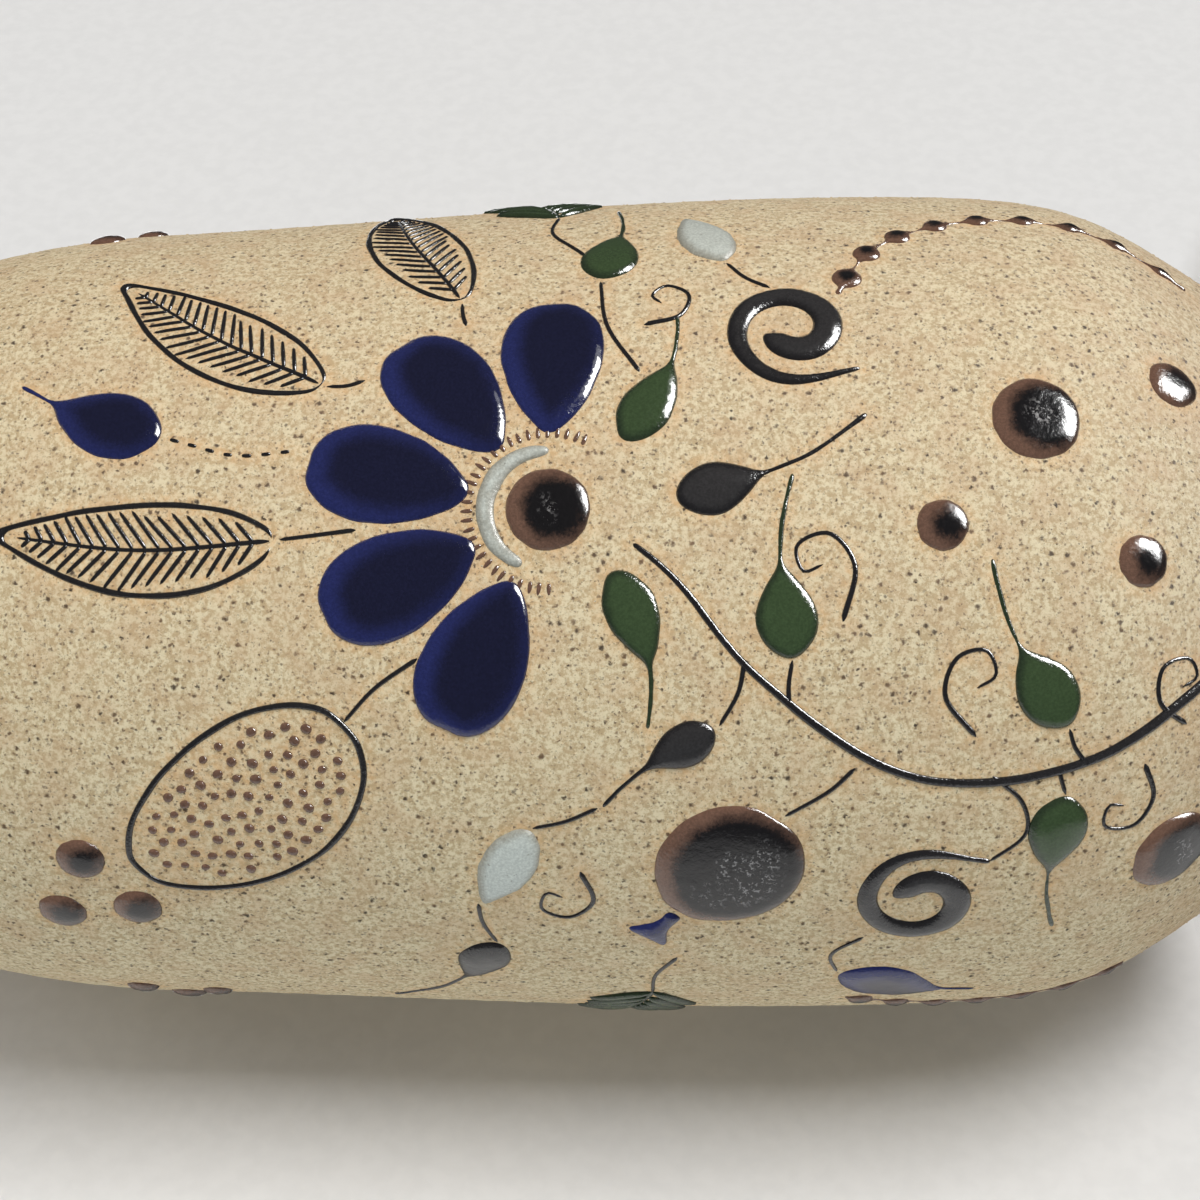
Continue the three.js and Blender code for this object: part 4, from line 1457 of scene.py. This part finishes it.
@dataclass
class Garland:
    """The fine work that joins the motifs: twigs, tendrils, rings of dabs and sprigs on the sides.

    Each twig and tendril is a row of the points that it goes through, each berry a row of around,
    up and radius, each ring a row of name, height, dabs and glaze.
    """

    work: LineWork
    twigs: tuple = (
        ((-27, 80), (-31, 84), (-35.5, 91)),
        ((-9, 97.5), (-14, 98.5), (-19.5, 101.5)),
        ((-16.5, 90.5), (-13, 90.6), (-9, 90)),
        ((-28, 47.5), (-30.5, 46.8), (-33, 46)),
        ((-27.5, 43), (-24.5, 45), (-21.3, 46)),
        ((-29, 58), (-34, 53), (-40, 52), (-45.5, 57.5)),
        ((-34, 121), (-36.5, 126), (-38, 131.5)),
        ((-55, 141), (-60, 140.5), (-66, 138.3)),
        ((40, 113), (50, 118), (61.5, 119)),
        ((58, 91), (61, 95), (65.5, 97.8)),
        ((13.4, 158.5), (12.8, 164), (12.1, 170.6)),
        ((40.8, 157.5), (39.8, 160.5), (39.9, 163.7)),
        ((51.8, 141.2), (54.5, 141.8), (57.5, 142)),
        ((-8, 149), (-13, 156), (-18.6, 161)),
        ((-63.5, 77), (-69, 82), (-75.6, 80.6)),
        ((70, 121.5), (80, 127), (89.5, 126)),
        ((-70, 108), (-77, 111.5), (-86, 112)),
    )
    tendrils: tuple = (
        ((-3, 82), (6, 80), (11, 84), (9, 89), (5, 88), (6, 85)),
        ((-22, 61), (-15, 66), (-9, 64), (-8, 59.5), (-12, 58), (-14, 61)),
        ((-29, 33), (-36, 31), (-41, 34), (-40, 39), (-36, 38.5), (-36.5, 36)),
        ((50, 112), (52, 106), (57, 104.5), (59.5, 108), (57, 110.5), (55, 109)),
        ((-47, 124), (-54, 122), (-58, 126), (-56, 130.5), (-52, 129.5), (-53, 127)),
        ((-23, 26), (-18, 31), (-12, 30.5), (-11, 26), (-14.5, 24.5), (-16, 27)),
    )
    berries: tuple = (
        (-176, 198, 3.6), (-167, 191, 3.2), (-177, 186, 3.0), (168, 210, 3.2), (176, 216, 2.8),
        (100, 208, 3.4), (108, 201, 3.0), (-104, 196, 3.4), (-95, 203, 3.0), (-98, 190, 2.8),
    )
    dash: Dab = Dab(0.25, 0.25, 4, 0.42, 0.4, True)
    dot: Dab = Dab(0.5, 0.5, 5, 0.34, 1.4, True)
    fringe: Strokes = equal(Dab(0.3, 0.5, 4, 0.4), 31, 0.8, 2.1, 1.57)
    fringe_radius: float = 11.9
    fringe_half_turn: float = 104.0
    bud_path: tuple = ((27.5, 170.0), (27.2, 178.0), (30.5, 188.0))
    rings: tuple = (
        ("shoulder_dots", 240.0, equal(dot, 40, 4.0, 3.4), Finish.IRON_BROWN),
        ("shoulder_dashes_low", 232.0, equal(dash, 90, 0.8, 3.0), Finish.CHARCOAL),
        ("shoulder_dashes_high", 248.0, equal(dash, 90, 0.8, 3.0), Finish.CHARCOAL),
    )
    sprigs: tuple = (
        (Place(-132, 44, -8), 60.0, 12.0, Finish.LEAF_GREEN),
        (Place(-126, 146, 6), 54.0, -12.0, Finish.CHARCOAL),
        (Place(130, 152, -6), 54.0, 12.0, Finish.CHARCOAL),
        (Place(134, 48, 10), 58.0, -12.0, Finish.LEAF_GREEN),
        (Place(-152, 114, -14), 46.0, 10.0, Finish.CHARCOAL),
        (Place(162, 108, 18), 46.0, -10.0, Finish.CHARCOAL),
    )
    back_plumes: tuple = (
        (Place(227, 166, -14), 8.0),
        (Place(251, 161, 22), 9.0),
        (Place(204, 158, -46), -8.0),
    )

    def dabs(
        self, name: str, path: np.ndarray, place: Place | None, kind: Strokes, seed: int,
        finish: Finish,
    ) -> None:
        """One row of dabs along a path, as one piece.

        Args:
            name: The piece's name.
            path: The points that the row goes through.
            place: The motif's place, or None for the flat drawing.
            kind: The dabs.
            seed: Which unevenness they have.
            finish: Their glaze.
        """
        self.work.settle(name, [self.work.row(path, kind, seed, finish)], place, finish)

    def build(self) -> None:
        """Draws it all."""
        work = self.work
        work.twigs("twigs", self.twigs, (0.42, 0.34))
        work.twigs("tendrils", self.tendrils, (0.5, 0.26))
        half = self.fringe_half_turn
        turns = np.radians(np.linspace(-half, half, 13))[::-1]
        fringe = self.fringe_radius * np.column_stack([np.sin(turns), np.cos(turns)])
        for name, place in (
            ("palmette_fringe", Place(16, 128, 14)),
            ("back_palmette_fringe", Place(HALF_ROUND - 6, 120, -12)),
        ):
            self.dabs(name, fringe, place, self.fringe, 5, Finish.IRON_BROWN)
        dashes = equal(self.dash, 7, 0.8, 1.6)
        self.dabs("bud_dashes", np.array(self.bud_path), None, dashes, 2, Finish.CHARCOAL)
        around = np.linspace(-HALF_ROUND, HALF_ROUND, 49)[:-1]
        for name, height, kind, finish in self.rings:
            ring = np.column_stack([around, np.full(len(around), height)])
            self.dabs(name, ring, None, kind, 3, finish)
        for k, sprig in enumerate(self.sprigs, start=1):
            work.sprig(f"sprig_{k}", *sprig)
        for k, plume in enumerate(self.back_plumes, start=1):
            work.plume(f"back_plume_{k}", *plume, False)
        work.berries("back_berry", self.berries, Finish.IRON_BROWN)


def angles(segments: int) -> np.ndarray:
    """Angles round the axis, as a column."""
    return np.linspace(0.0, 2 * math.pi, segments, endpoint=False)[:, None]


@dataclass
class ThrownPot:
    """The thrown clay: the body with its foot ring and the collar of the mouth."""

    wall: ThrownWall
    material: Material
    segments: int = 400
    outside_rows: int = 184
    inside_rows: int = 36
    collar_segments: int = 220
    floor: float = 8.0
    floor_corner: float = 12.0
    floor_hole: float = 4.0
    foot_ring: float = 8.0
    foot_recess: float = 2.5
    foot_cut: float = 1.2
    seam_gap: float = 0.02
    halo_reach: float = 1.3

    def inside_line(self, depth: float, low: float, high: float, count: int) -> np.ndarray:
        """Points down the inside between two heights, so deep inside the bare clay."""
        line = self.wall.line - (WALL_THICKNESS + depth) * self.wall.normals
        heights = np.linspace(high, low, count)
        return np.column_stack([np.interp(heights, line[:, 1], line[:, 0]), heights])

    def floor_line(self, depth: float) -> np.ndarray:
        """Points round the inner corner and over the floor to near its middle."""
        radius, level = self.floor_corner - depth, self.floor + depth
        start = self.inside_line(depth, level + radius, level + radius + 1, 2)[-1]
        turns = np.radians(np.linspace(0.0, -90.0, 9)[1:])
        middle = np.array([start[0] - radius, level + radius])
        corner = middle + radius * np.column_stack([np.cos(turns), np.sin(turns)])
        inner = np.linspace(corner[-1, 0], self.floor_hole, 8)[1:]
        return np.vstack([corner, np.column_stack([inner, np.full(len(inner), level)])])

    def spin(self, line: np.ndarray, segments: int, uneven: np.ndarray) -> np.ndarray:
        """Turns a line round the axis.

        Args:
            line: Rows of radius and height.
            segments: How many times it stands round the axis.
            uneven: For each row, the share of the wall's unevenness that it takes.

        Returns:
            Points in metres as [segment, row, 3].
        """
        angle = angles(segments)
        height = np.broadcast_to(line[:, 1], (segments, len(line)))
        off = self.wall.unevenness(angle, height) * uneven
        out = self.wall.direction(line[:, 1])
        return round_axis(line[:, 0] + off * out[:, 0], line[:, 1] + off * out[:, 1], angle)

    def with_poles(self, sections: np.ndarray, low: float, high: float) -> np.ndarray:
        """The points of sections, and two poles on the axis at heights in millimetres."""
        poles = np.array([[0.0, 0.0, low], [0.0, 0.0, high]]) * MM
        return np.vstack([sections.reshape(-1, 3), poles])

    def build_body(self, outlines: list[np.ndarray]) -> None:
        """The thrown body.

        Args:
            outlines: Flat points of the painting's edges, which scorch the clay beside them.
        """
        foot = self.wall.stations[0].radius
        ring = foot - self.foot_ring
        under = [
            (6.0, self.foot_recess),
            (24.0, self.foot_recess),
            (ring - self.foot_recess, self.foot_recess),
            (ring - 1.2, 0.6),
            (ring, 0.12),
            (ring + 1.0, 0.0),
            (foot - 2.6, 0.0),
            (foot - self.foot_cut, 0.1),
        ]
        heights = self.wall.rows(self.foot_cut * 0.8, SEAM_HEIGHT, self.outside_rows)
        low = self.floor + self.floor_corner
        inner = self.inside_line(0.0, low, SEAM_HEIGHT, self.inside_rows)
        line = np.vstack([under, self.wall.outline(heights), inner, self.floor_line(0.0)])
        uneven = np.zeros(len(line))
        uneven[len(under) : len(under) + len(heights)] = 1.0
        sections = self.spin(line, self.segments, uneven)
        points = self.with_poles(sections, self.foot_recess, self.floor)
        values = {"halo": self.scorch(points, outlines)}
        skin = Skin(points, revolved(sections, Ends.POLES), values)
        body = skin.mesh("thrown_body")
        add_piece("thrown_body", body, self.material, Finish.CLAY, "vase_body")

    def scorch(self, points: np.ndarray, outlines: list[np.ndarray]) -> np.ndarray:
        """How strongly the clay is scorched at each point, by its distance to the painting."""
        edge = np.vstack(outlines)
        edge = self.wall.wrap(np.column_stack([edge, np.zeros(len(edge))])) / MM
        tree = kdtree.KDTree(len(edge))
        for i, point in enumerate(edge):
            tree.insert(point, i)
        tree.balance()
        near = np.array([tree.find(p)[2] for p in points / MM])
        return np.exp(-((near / self.halo_reach) ** 1.3))

    def build_collar(self) -> None:
        """The collar of the mouth with its rolled lip."""
        top, lean = self.wall.line[-1], self.wall.normals[-1]
        seam, half = SEAM_HEIGHT + self.seam_gap, WALL_THICKNESS / 2
        outside = self.wall.outline(np.linspace(seam, top[1], 34))
        turns = math.atan2(lean[1], lean[0]) + np.linspace(0.0, math.pi, 13)[1:-1]
        roll = top - lean * half + half * np.column_stack([np.cos(turns), np.sin(turns)])
        inner = self.inside_line(0.0, seam, float((top - lean * WALL_THICKNESS)[1]), 26)
        line = np.vstack([outside, roll, inner])
        sections = self.spin(line, self.collar_segments, np.full(len(line), 0.5))
        values = {"halo": np.zeros(sections.size // 3)}
        skin = Skin(sections.reshape(-1, 3), revolved(sections, Ends.MEET), values)
        collar = skin.mesh("thrown_collar")
        add_piece("thrown_collar", collar, self.material, Finish.CLAY, "neck_collar")


@dataclass
class RunningCoats:
    """The glaze that goes all the way round: the neck band, the rim and the liner."""

    pot: ThrownPot
    materials: dict[Finish, Material]
    segments: int = 240
    thickness: float = 0.95
    sunk: float = 0.02
    seat: float = 0.2
    depth: float = 1.2
    band_half: float = 4.3
    rim_wrap: float = 128.0
    liner_top: float = 296.0

    def _ring(
        self, name: str, over: np.ndarray, under: np.ndarray, node: str
    ) -> None:
        """Adds a closed ring of brown glaze.

        Args:
            name: The piece's name.
            over: Its outer skin as [segment, row, 3] in metres.
            under: Its seat, in the same order.
            node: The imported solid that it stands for.
        """
        sections = np.concatenate([over, under[:, ::-1]], axis=1)
        depth = np.zeros(sections.shape[:2])
        rows = over.shape[1]
        depth[:, :rows] = self.depth * np.sin(np.linspace(0.0, math.pi, rows)) ** 0.6
        values = {"depth": depth.ravel()}
        skin = Skin(sections.reshape(-1, 3), revolved(sections, Ends.MEET), values)
        brown = Finish.IRON_BROWN
        add_piece(name, skin.mesh(name), self.materials[brown], brown, node)

    def crown(self, share: np.ndarray) -> np.ndarray:
        """The height of a band of glaze from one edge, -1, to the other, 1."""
        return self.thickness * (1 - np.abs(share) ** 2.6) ** 0.6

    def build_neck_band(self) -> None:
        """The band over the joint, with a wavering edge and its glaze run down a little."""
        angle, share = angles(self.segments), np.linspace(-1.0, 1.0, 13)[None, :]
        low = self.band_half + 0.35 * np.sin(5 * angle + 1) + 0.25 * np.sin(11 * angle)
        high = self.band_half - 0.3 + 0.2 * np.sin(7 * angle)
        height = SEAM_HEIGHT + np.where(share < 0, share * low, share * high)

        def laid(off: np.ndarray | float) -> np.ndarray:
            """The points at a distance off the clay."""
            flat = np.stack(np.broadcast_arrays(angle * BELLY, height, off), axis=2)
            return self.pot.wall.wrap(flat.reshape(-1, 3)).reshape(flat.shape)

        over = laid(self.crown(share) * (1 - 0.12 * share) - self.sunk)
        self._ring("neck_band_glaze", over, laid(-self.seat), "neck_band")

    def build_rim(self) -> None:
        """The glaze over the rolled lip."""
        lean = self.pot.wall.normals[-1]
        centre = self.pot.wall.line[-1] - lean * WALL_THICKNESS / 2
        angle, share = angles(self.segments), np.linspace(-1.0, 1.0, 15)[None, :]
        wave = 1 + 0.05 * np.sin(4 * angle) + 0.04 * np.sin(9 * angle + 2)
        half = math.radians(self.rim_wrap / 2) * wave
        turn = math.atan2(lean[1], lean[0]) + math.pi / 2 + share * half

        def laid(off: np.ndarray | float) -> np.ndarray:
            """The points at a distance off the clay."""
            reach = WALL_THICKNESS / 2 + off
            radius, height = (c + reach * f(turn) for c, f in zip(centre, (np.cos, np.sin)))
            return round_axis(radius, height, angle)

        self._ring("rim_glaze", laid(self.crown(share)), laid(-self.seat), "rim_glaze_band")

    def build_liner(self) -> None:
        """The coat inside, which makes the pot hold water."""
        pot, finish = self.pot, Finish.LINER
        low = pot.floor + pot.floor_corner

        def side(depth: float) -> np.ndarray:
            """The line of the coat's surface, so deep inside the clay."""
            return np.vstack(
                [pot.inside_line(depth, low, self.liner_top, 60), pot.floor_line(depth)]
            )

        line = np.vstack([side(-self.sunk)[::-1], side(self.thickness)])
        sections = pot.spin(line, 180, np.zeros(len(line)))
        points = pot.with_poles(sections, pot.floor - self.sunk, pot.floor + self.thickness)
        values = {"depth": np.ones(len(points))}
        coat = Skin(points, revolved(sections, Ends.POLES), values).mesh("liner_coat")
        add_piece("liner_coat", coat, self.materials[finish], finish, "liner_glaze")


@dataclass
class Grit:
    """Sand grains that stand out of the thrown clay, sized in metres."""

    pot: ThrownPot
    tool: NodeTool
    grains: Scatter = Scatter(0.0026, 400000.0, (0.00014, 0.0003), 0.45, 11)
    rows: int = 70
    segments: int = 200

    def build(self) -> None:
        """Scatters the grains over the outside of the body."""
        wall = self.pot.wall
        line = wall.outline(wall.rows(3.0, SEAM_HEIGHT - 6.0, self.rows))
        sections = self.pot.spin(line, self.segments, np.ones(len(line)))
        ground = Skin(sections.reshape(-1, 3), revolved(sections, Ends.OPEN)).mesh("ground")
        bm = bmesh.new()
        bmesh.ops.create_icosphere(bm, subdivisions=1, radius=1.0)
        grain = bpy.data.meshes.new("grain")
        bm.to_mesh(grain)
        bm.free()
        made = self.grains.over(self.tool, ground, grain, self.pot.material)
        made.polygons.foreach_set("use_smooth", [True] * len(made.polygons))
        add_piece("clay_grit", made, self.pot.material, Finish.CLAY)


@dataclass
class Studio:
    """The camera, the counter that the pot lies on, the floor under its foot, and the light."""

    distance: float = 0.45
    middle: float = 0.12
    shift_up: float = 0.00103
    roll: float = 1.0
    lens: float = 71.88
    sensor: float = 36.0
    counter: tuple = rgb(227, 226, 225)
    key_energy: float = 82.0
    neck_energy: float = 17.0
    window_energy: float = 40.0
    glow_energy: float = 7.0
    fill_energy: float = 11.0
    bounce_energy: float = 9.5
    ambient: float = 0.21
    counter_gap: float = 0.0005

    def build_camera(self) -> None:
        """The camera, on its side, square to the pot's axis."""
        data = bpy.data.cameras.new("camera")
        data.lens, data.sensor_width, data.sensor_fit = self.lens, self.sensor, "HORIZONTAL"
        data.clip_start, data.clip_end = 0.01, 50.0
        tilt = math.radians(self.roll)
        up = Vector((math.cos(tilt), 0.0, -math.sin(tilt)))
        back = Vector((0.0, -1.0, 0.0))
        right = up.cross(back)
        camera = linked("camera", data)
        place = Vector((self.shift_up, -self.distance, self.middle))
        basis = Matrix((right, up, back)).transposed().to_4x4()
        camera.matrix_world = Matrix.Translation(place) @ basis
        bpy.context.scene.camera = camera

    def _plane(self, name: str, corners: list[Vector], material: Material) -> None:
        """A flat stage piece."""
        data = bpy.data.meshes.new(name)
        data.from_pydata([tuple(c) for c in corners], [], [tuple(range(len(corners)))])
        data.materials.append(material)
        linked(name, data)

    @staticmethod
    def _show(s: Shader, shown: object, color: object) -> None:
        """Ends a stage material, which shows its colour by a share and is clear elsewhere."""
        pale = s.node("ShaderNodeBsdfDiffuse", {"Color": color}).outputs[0]
        clear = s.node("ShaderNodeBsdfTransparent").outputs[0]
        both = s.node("ShaderNodeMixShader", {0: shown, 1: clear, 2: pale})
        s.node("ShaderNodeOutputMaterial", {"Surface": both.outputs[0]})

    def build_counter(self) -> None:
        """The pale counter, which the pot's far side touches."""
        out = Vector((1.0, -1.0, 0.0)).normalized()
        side = Vector((1.0, 1.0, 0.0)).normalized()
        centre = -(BELLY * MM + self.counter_gap) * out
        reach, up = 2.5, Vector((0.0, 0.0, 2.5))
        corners = [centre - side * reach - up, centre + side * reach - up]
        corners += [centre + side * reach + up, centre - side * reach + up]
        normal = (corners[1] - corners[0]).cross(corners[2] - corners[0])
        if normal.dot(out) < 0:
            corners.reverse()
        material = bpy.data.materials.new("counter")
        material.use_nodes = True
        s = Shader(material.node_tree)
        path = s.node("ShaderNodeLightPath").outputs
        front = s.less(1.0, s.node("ShaderNodeNewGeometry").outputs["Backfacing"])
        place = s.node("ShaderNodeTexCoord").outputs["Object"]
        toward = s.vector("DOT_PRODUCT", {0: place, 1: (-0.70711, -0.70711, 0.0)}, "Value")
        near = s.span(toward, 0.02, 0.09)
        bounced = s.math("MAXIMUM", path["Is Diffuse Ray"], path["Is Glossy Ray"])
        seen = s.math("MAXIMUM", path["Is Camera Ray"], s.mul(bounced, near))
        parts = s.node("ShaderNodeSeparateXYZ", {"Vector": place}).outputs
        above = s.span(parts["Z"], 0.33, 0.6, 1.0, 0.0)
        below = s.span(parts["Z"], -0.24, -0.09)
        sideways = s.math("ABSOLUTE", s.add(toward, 0.1))
        kept = s.mul(s.mul(above, below), s.span(sideways, 0.26, 0.55, 1.0, 0.0))
        shown = s.mul(s.mul(seen, front), kept)
        spots = s.span(s.noise(place, 260.0, 3.0), 0.3, 0.7)
        self._show(s, shown, s.mix(spots, rgb(223, 222, 221), self.counter))
        self._plane("counter", corners, material)

    def build_floor(self) -> None:
        """A soft patch of floor right under the foot, which fades out."""
        material = bpy.data.materials.new("floor")
        material.use_nodes = True
        s = Shader(material.node_tree)
        path = s.node("ShaderNodeLightPath").outputs
        place = s.node("ShaderNodeTexCoord").outputs["Object"]
        reach = s.vector("LENGTH", {0: place}, "Value")
        front = s.less(1.0, s.node("ShaderNodeNewGeometry").outputs["Backfacing"])
        shown = s.mul(s.span(reach, 0.045, 0.082, 1.0, 0.0), path["Is Camera Ray"])
        spots = s.span(s.noise(place, 200.0, 3.0), 0.3, 0.7)
        color = s.mix(spots, rgb(225, 224, 223), self.counter)
        self._show(s, s.mul(shown, front), color)
        turns = [2 * math.pi * i / 64 for i in range(64)]
        rim = [Vector((0.09 * math.cos(a), 0.09 * math.sin(a), -0.0002)) for a in turns]
        self._plane("floor", rim, material)

    def build_world(self) -> None:
        """A pale surround to the eye, soft to the clay and dark in the gloss of the glaze."""
        world = bpy.data.worlds.new("surround")
        world.use_nodes = True
        s = Shader(world.node_tree)
        path = s.node("ShaderNodeLightPath").outputs
        soft, dark, pale = (
            s.node("ShaderNodeBackground", {"Color": color, "Strength": strength}).outputs[0]
            for color, strength in (
                ((1.0, 0.995, 0.985, 1.0), self.ambient),
                ((0.9, 0.95, 1.0, 1.0), 0.05),
                (rgb(224, 224, 222), 1.0),
            )
        )
        lit = s.node("ShaderNodeMixShader", {0: path["Is Glossy Ray"], 1: soft, 2: dark})
        inputs = {0: path["Is Camera Ray"], 1: lit.outputs[0], 2: pale}
        seen = s.node("ShaderNodeMixShader", inputs)
        s.node("ShaderNodeOutputWorld", {"Surface": seen.outputs[0]})
        bpy.context.scene.world = world

    def _light(
        self,
        name: str,
        toward: tuple,
        distance: float,
        size: tuple[float, float],
        energy: float,
        gloss: bool,
        soft: bool = True,
        tint: tuple[float, float, float] = (1.0, 1.0, 0.992),
    ) -> None:
        """An area light that faces the pot.

        Args:
            name: Its name.
            toward: Its direction from the middle of the pot.
            distance: How far away it is.
            size: Its width and height.
            energy: Its power.
            gloss: Whether the glaze reflects it.
            soft: Whether it lights the clay and the counter.
            tint: Its colour.
        """
        data = bpy.data.lights.new(name, "AREA")
        data.shape = "RECTANGLE"
        data.size, data.size_y, data.energy = size[0], size[1], energy
        data.color = tint
        made = linked(name, data)
        way = Vector(toward).normalized()
        made.location = Vector((0.0, 0.0, self.middle)) + way * distance
        made.rotation_euler = way.to_track_quat("Z", "Y").to_euler()
        made.visible_glossy = gloss
        made.visible_diffuse = soft
        made.visible_camera = False

    def build_lights(self) -> None:
        """A broad key, light on the neck, a window and its glow, a fill behind and a bounce."""
        self._light("key", (0.62, -0.74, -0.2), 3.2, (1.5, 1.5), self.key_energy, False)
        self._light("neck_light", (0.5, -0.6, 0.8), 3.2, (1.5, 1.5), self.neck_energy, False)
        window = (0.52, -0.36, -0.77)
        self._light("window", window, 1.2, (0.55, 0.75), self.window_energy, True, False)
        self._light("window_glow", window, 1.3, (0.95, 1.2), self.glow_energy, True, False)
        self._light("fill", (0.1, 1.0, 0.25), 1.8, (1.4, 1.4), self.fill_energy, True)
        bounce = (-0.76, -0.64, 0.1)
        size, tint = (1.2, 1.2), (0.7, 0.87, 1.0)
        self._light("bounce", bounce, 1.6, size, self.bounce_energy, False, tint=tint)

    def build(self) -> None:
        """Sets up everything that isn't part of the pot."""
        self.build_camera()
        self.build_counter()
        self.build_floor()
        self.build_world()
        self.build_lights()
        bpy.context.scene.view_settings.view_transform = "Standard"


def clear_defaults() -> None:
    """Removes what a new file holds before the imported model: a cube, a light and a camera."""
    for name in ("Cube", "Light", "Camera"):
        found = bpy.data.objects.get(name)
        if found is not None:
            bpy.data.objects.remove(found)


def painted_nodes() -> dict[str, Finish]:
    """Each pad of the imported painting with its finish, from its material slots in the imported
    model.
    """
    found: dict[str, Finish] = {}
    coats = {"vase_body", "neck_collar", "neck_band", "rim_glaze_band", "liner_glaze"}
    kinds = {f.value: f for f in Finish}
    for name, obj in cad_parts.items():
        if name in coats:
            continue
        slots = [m.name for m in obj.data.materials if m is not None]
        slot = next((k for k in kinds if any(k in label for label in slots)), None)
        found[name] = kinds[slot] if slot else Finish.CHARCOAL
        log.debug("%s: %s", name, slots)
    return found


def main() -> None:
    """Builds the vase and its studio."""
    logging.basicConfig(level=logging.INFO, format="%(message)s")
    clear_defaults()
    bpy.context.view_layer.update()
    Studio().build()

    bench = Bench()
    materials = {finish: glaze.build(bench) for finish, glaze in GLAZES.items()}
    clay = SandyClay().build(bench)
    wall = ThrownWall()

    painting = Painting(wall, materials)
    painting.build(painted_nodes(), {"fern_1", "fern_2", "plume_1", "plume_2", "plume_3"})
    work = LineWork(painting)
    work.fern("fern_1", Place(90, 126, 74), 5.0)
    work.fern("fern_2", Place(-86, 112, -75), -5.0)
    work.plume("plume_1", Place(12, 171, -8), 9.0, True)
    work.plume("plume_2", Place(40, 164, 26), 10.0, True)
    work.plume("plume_3", Place(58, 142, 60), 10.0, True)
    work.stipple("seed_pod_stipple", "seed_pod", Finish.IRON_BROWN, 0.84)
    Garland(work).build()

    pot = ThrownPot(wall, clay)
    pot.build_body(painting.outlines)
    pot.build_collar()
    coats = RunningCoats(pot, materials)
    coats.build_neck_band()
    coats.build_rim()
    coats.build_liner()
    Grit(pot, work.scatter).build()


if __name__ == "__main__":
    main()
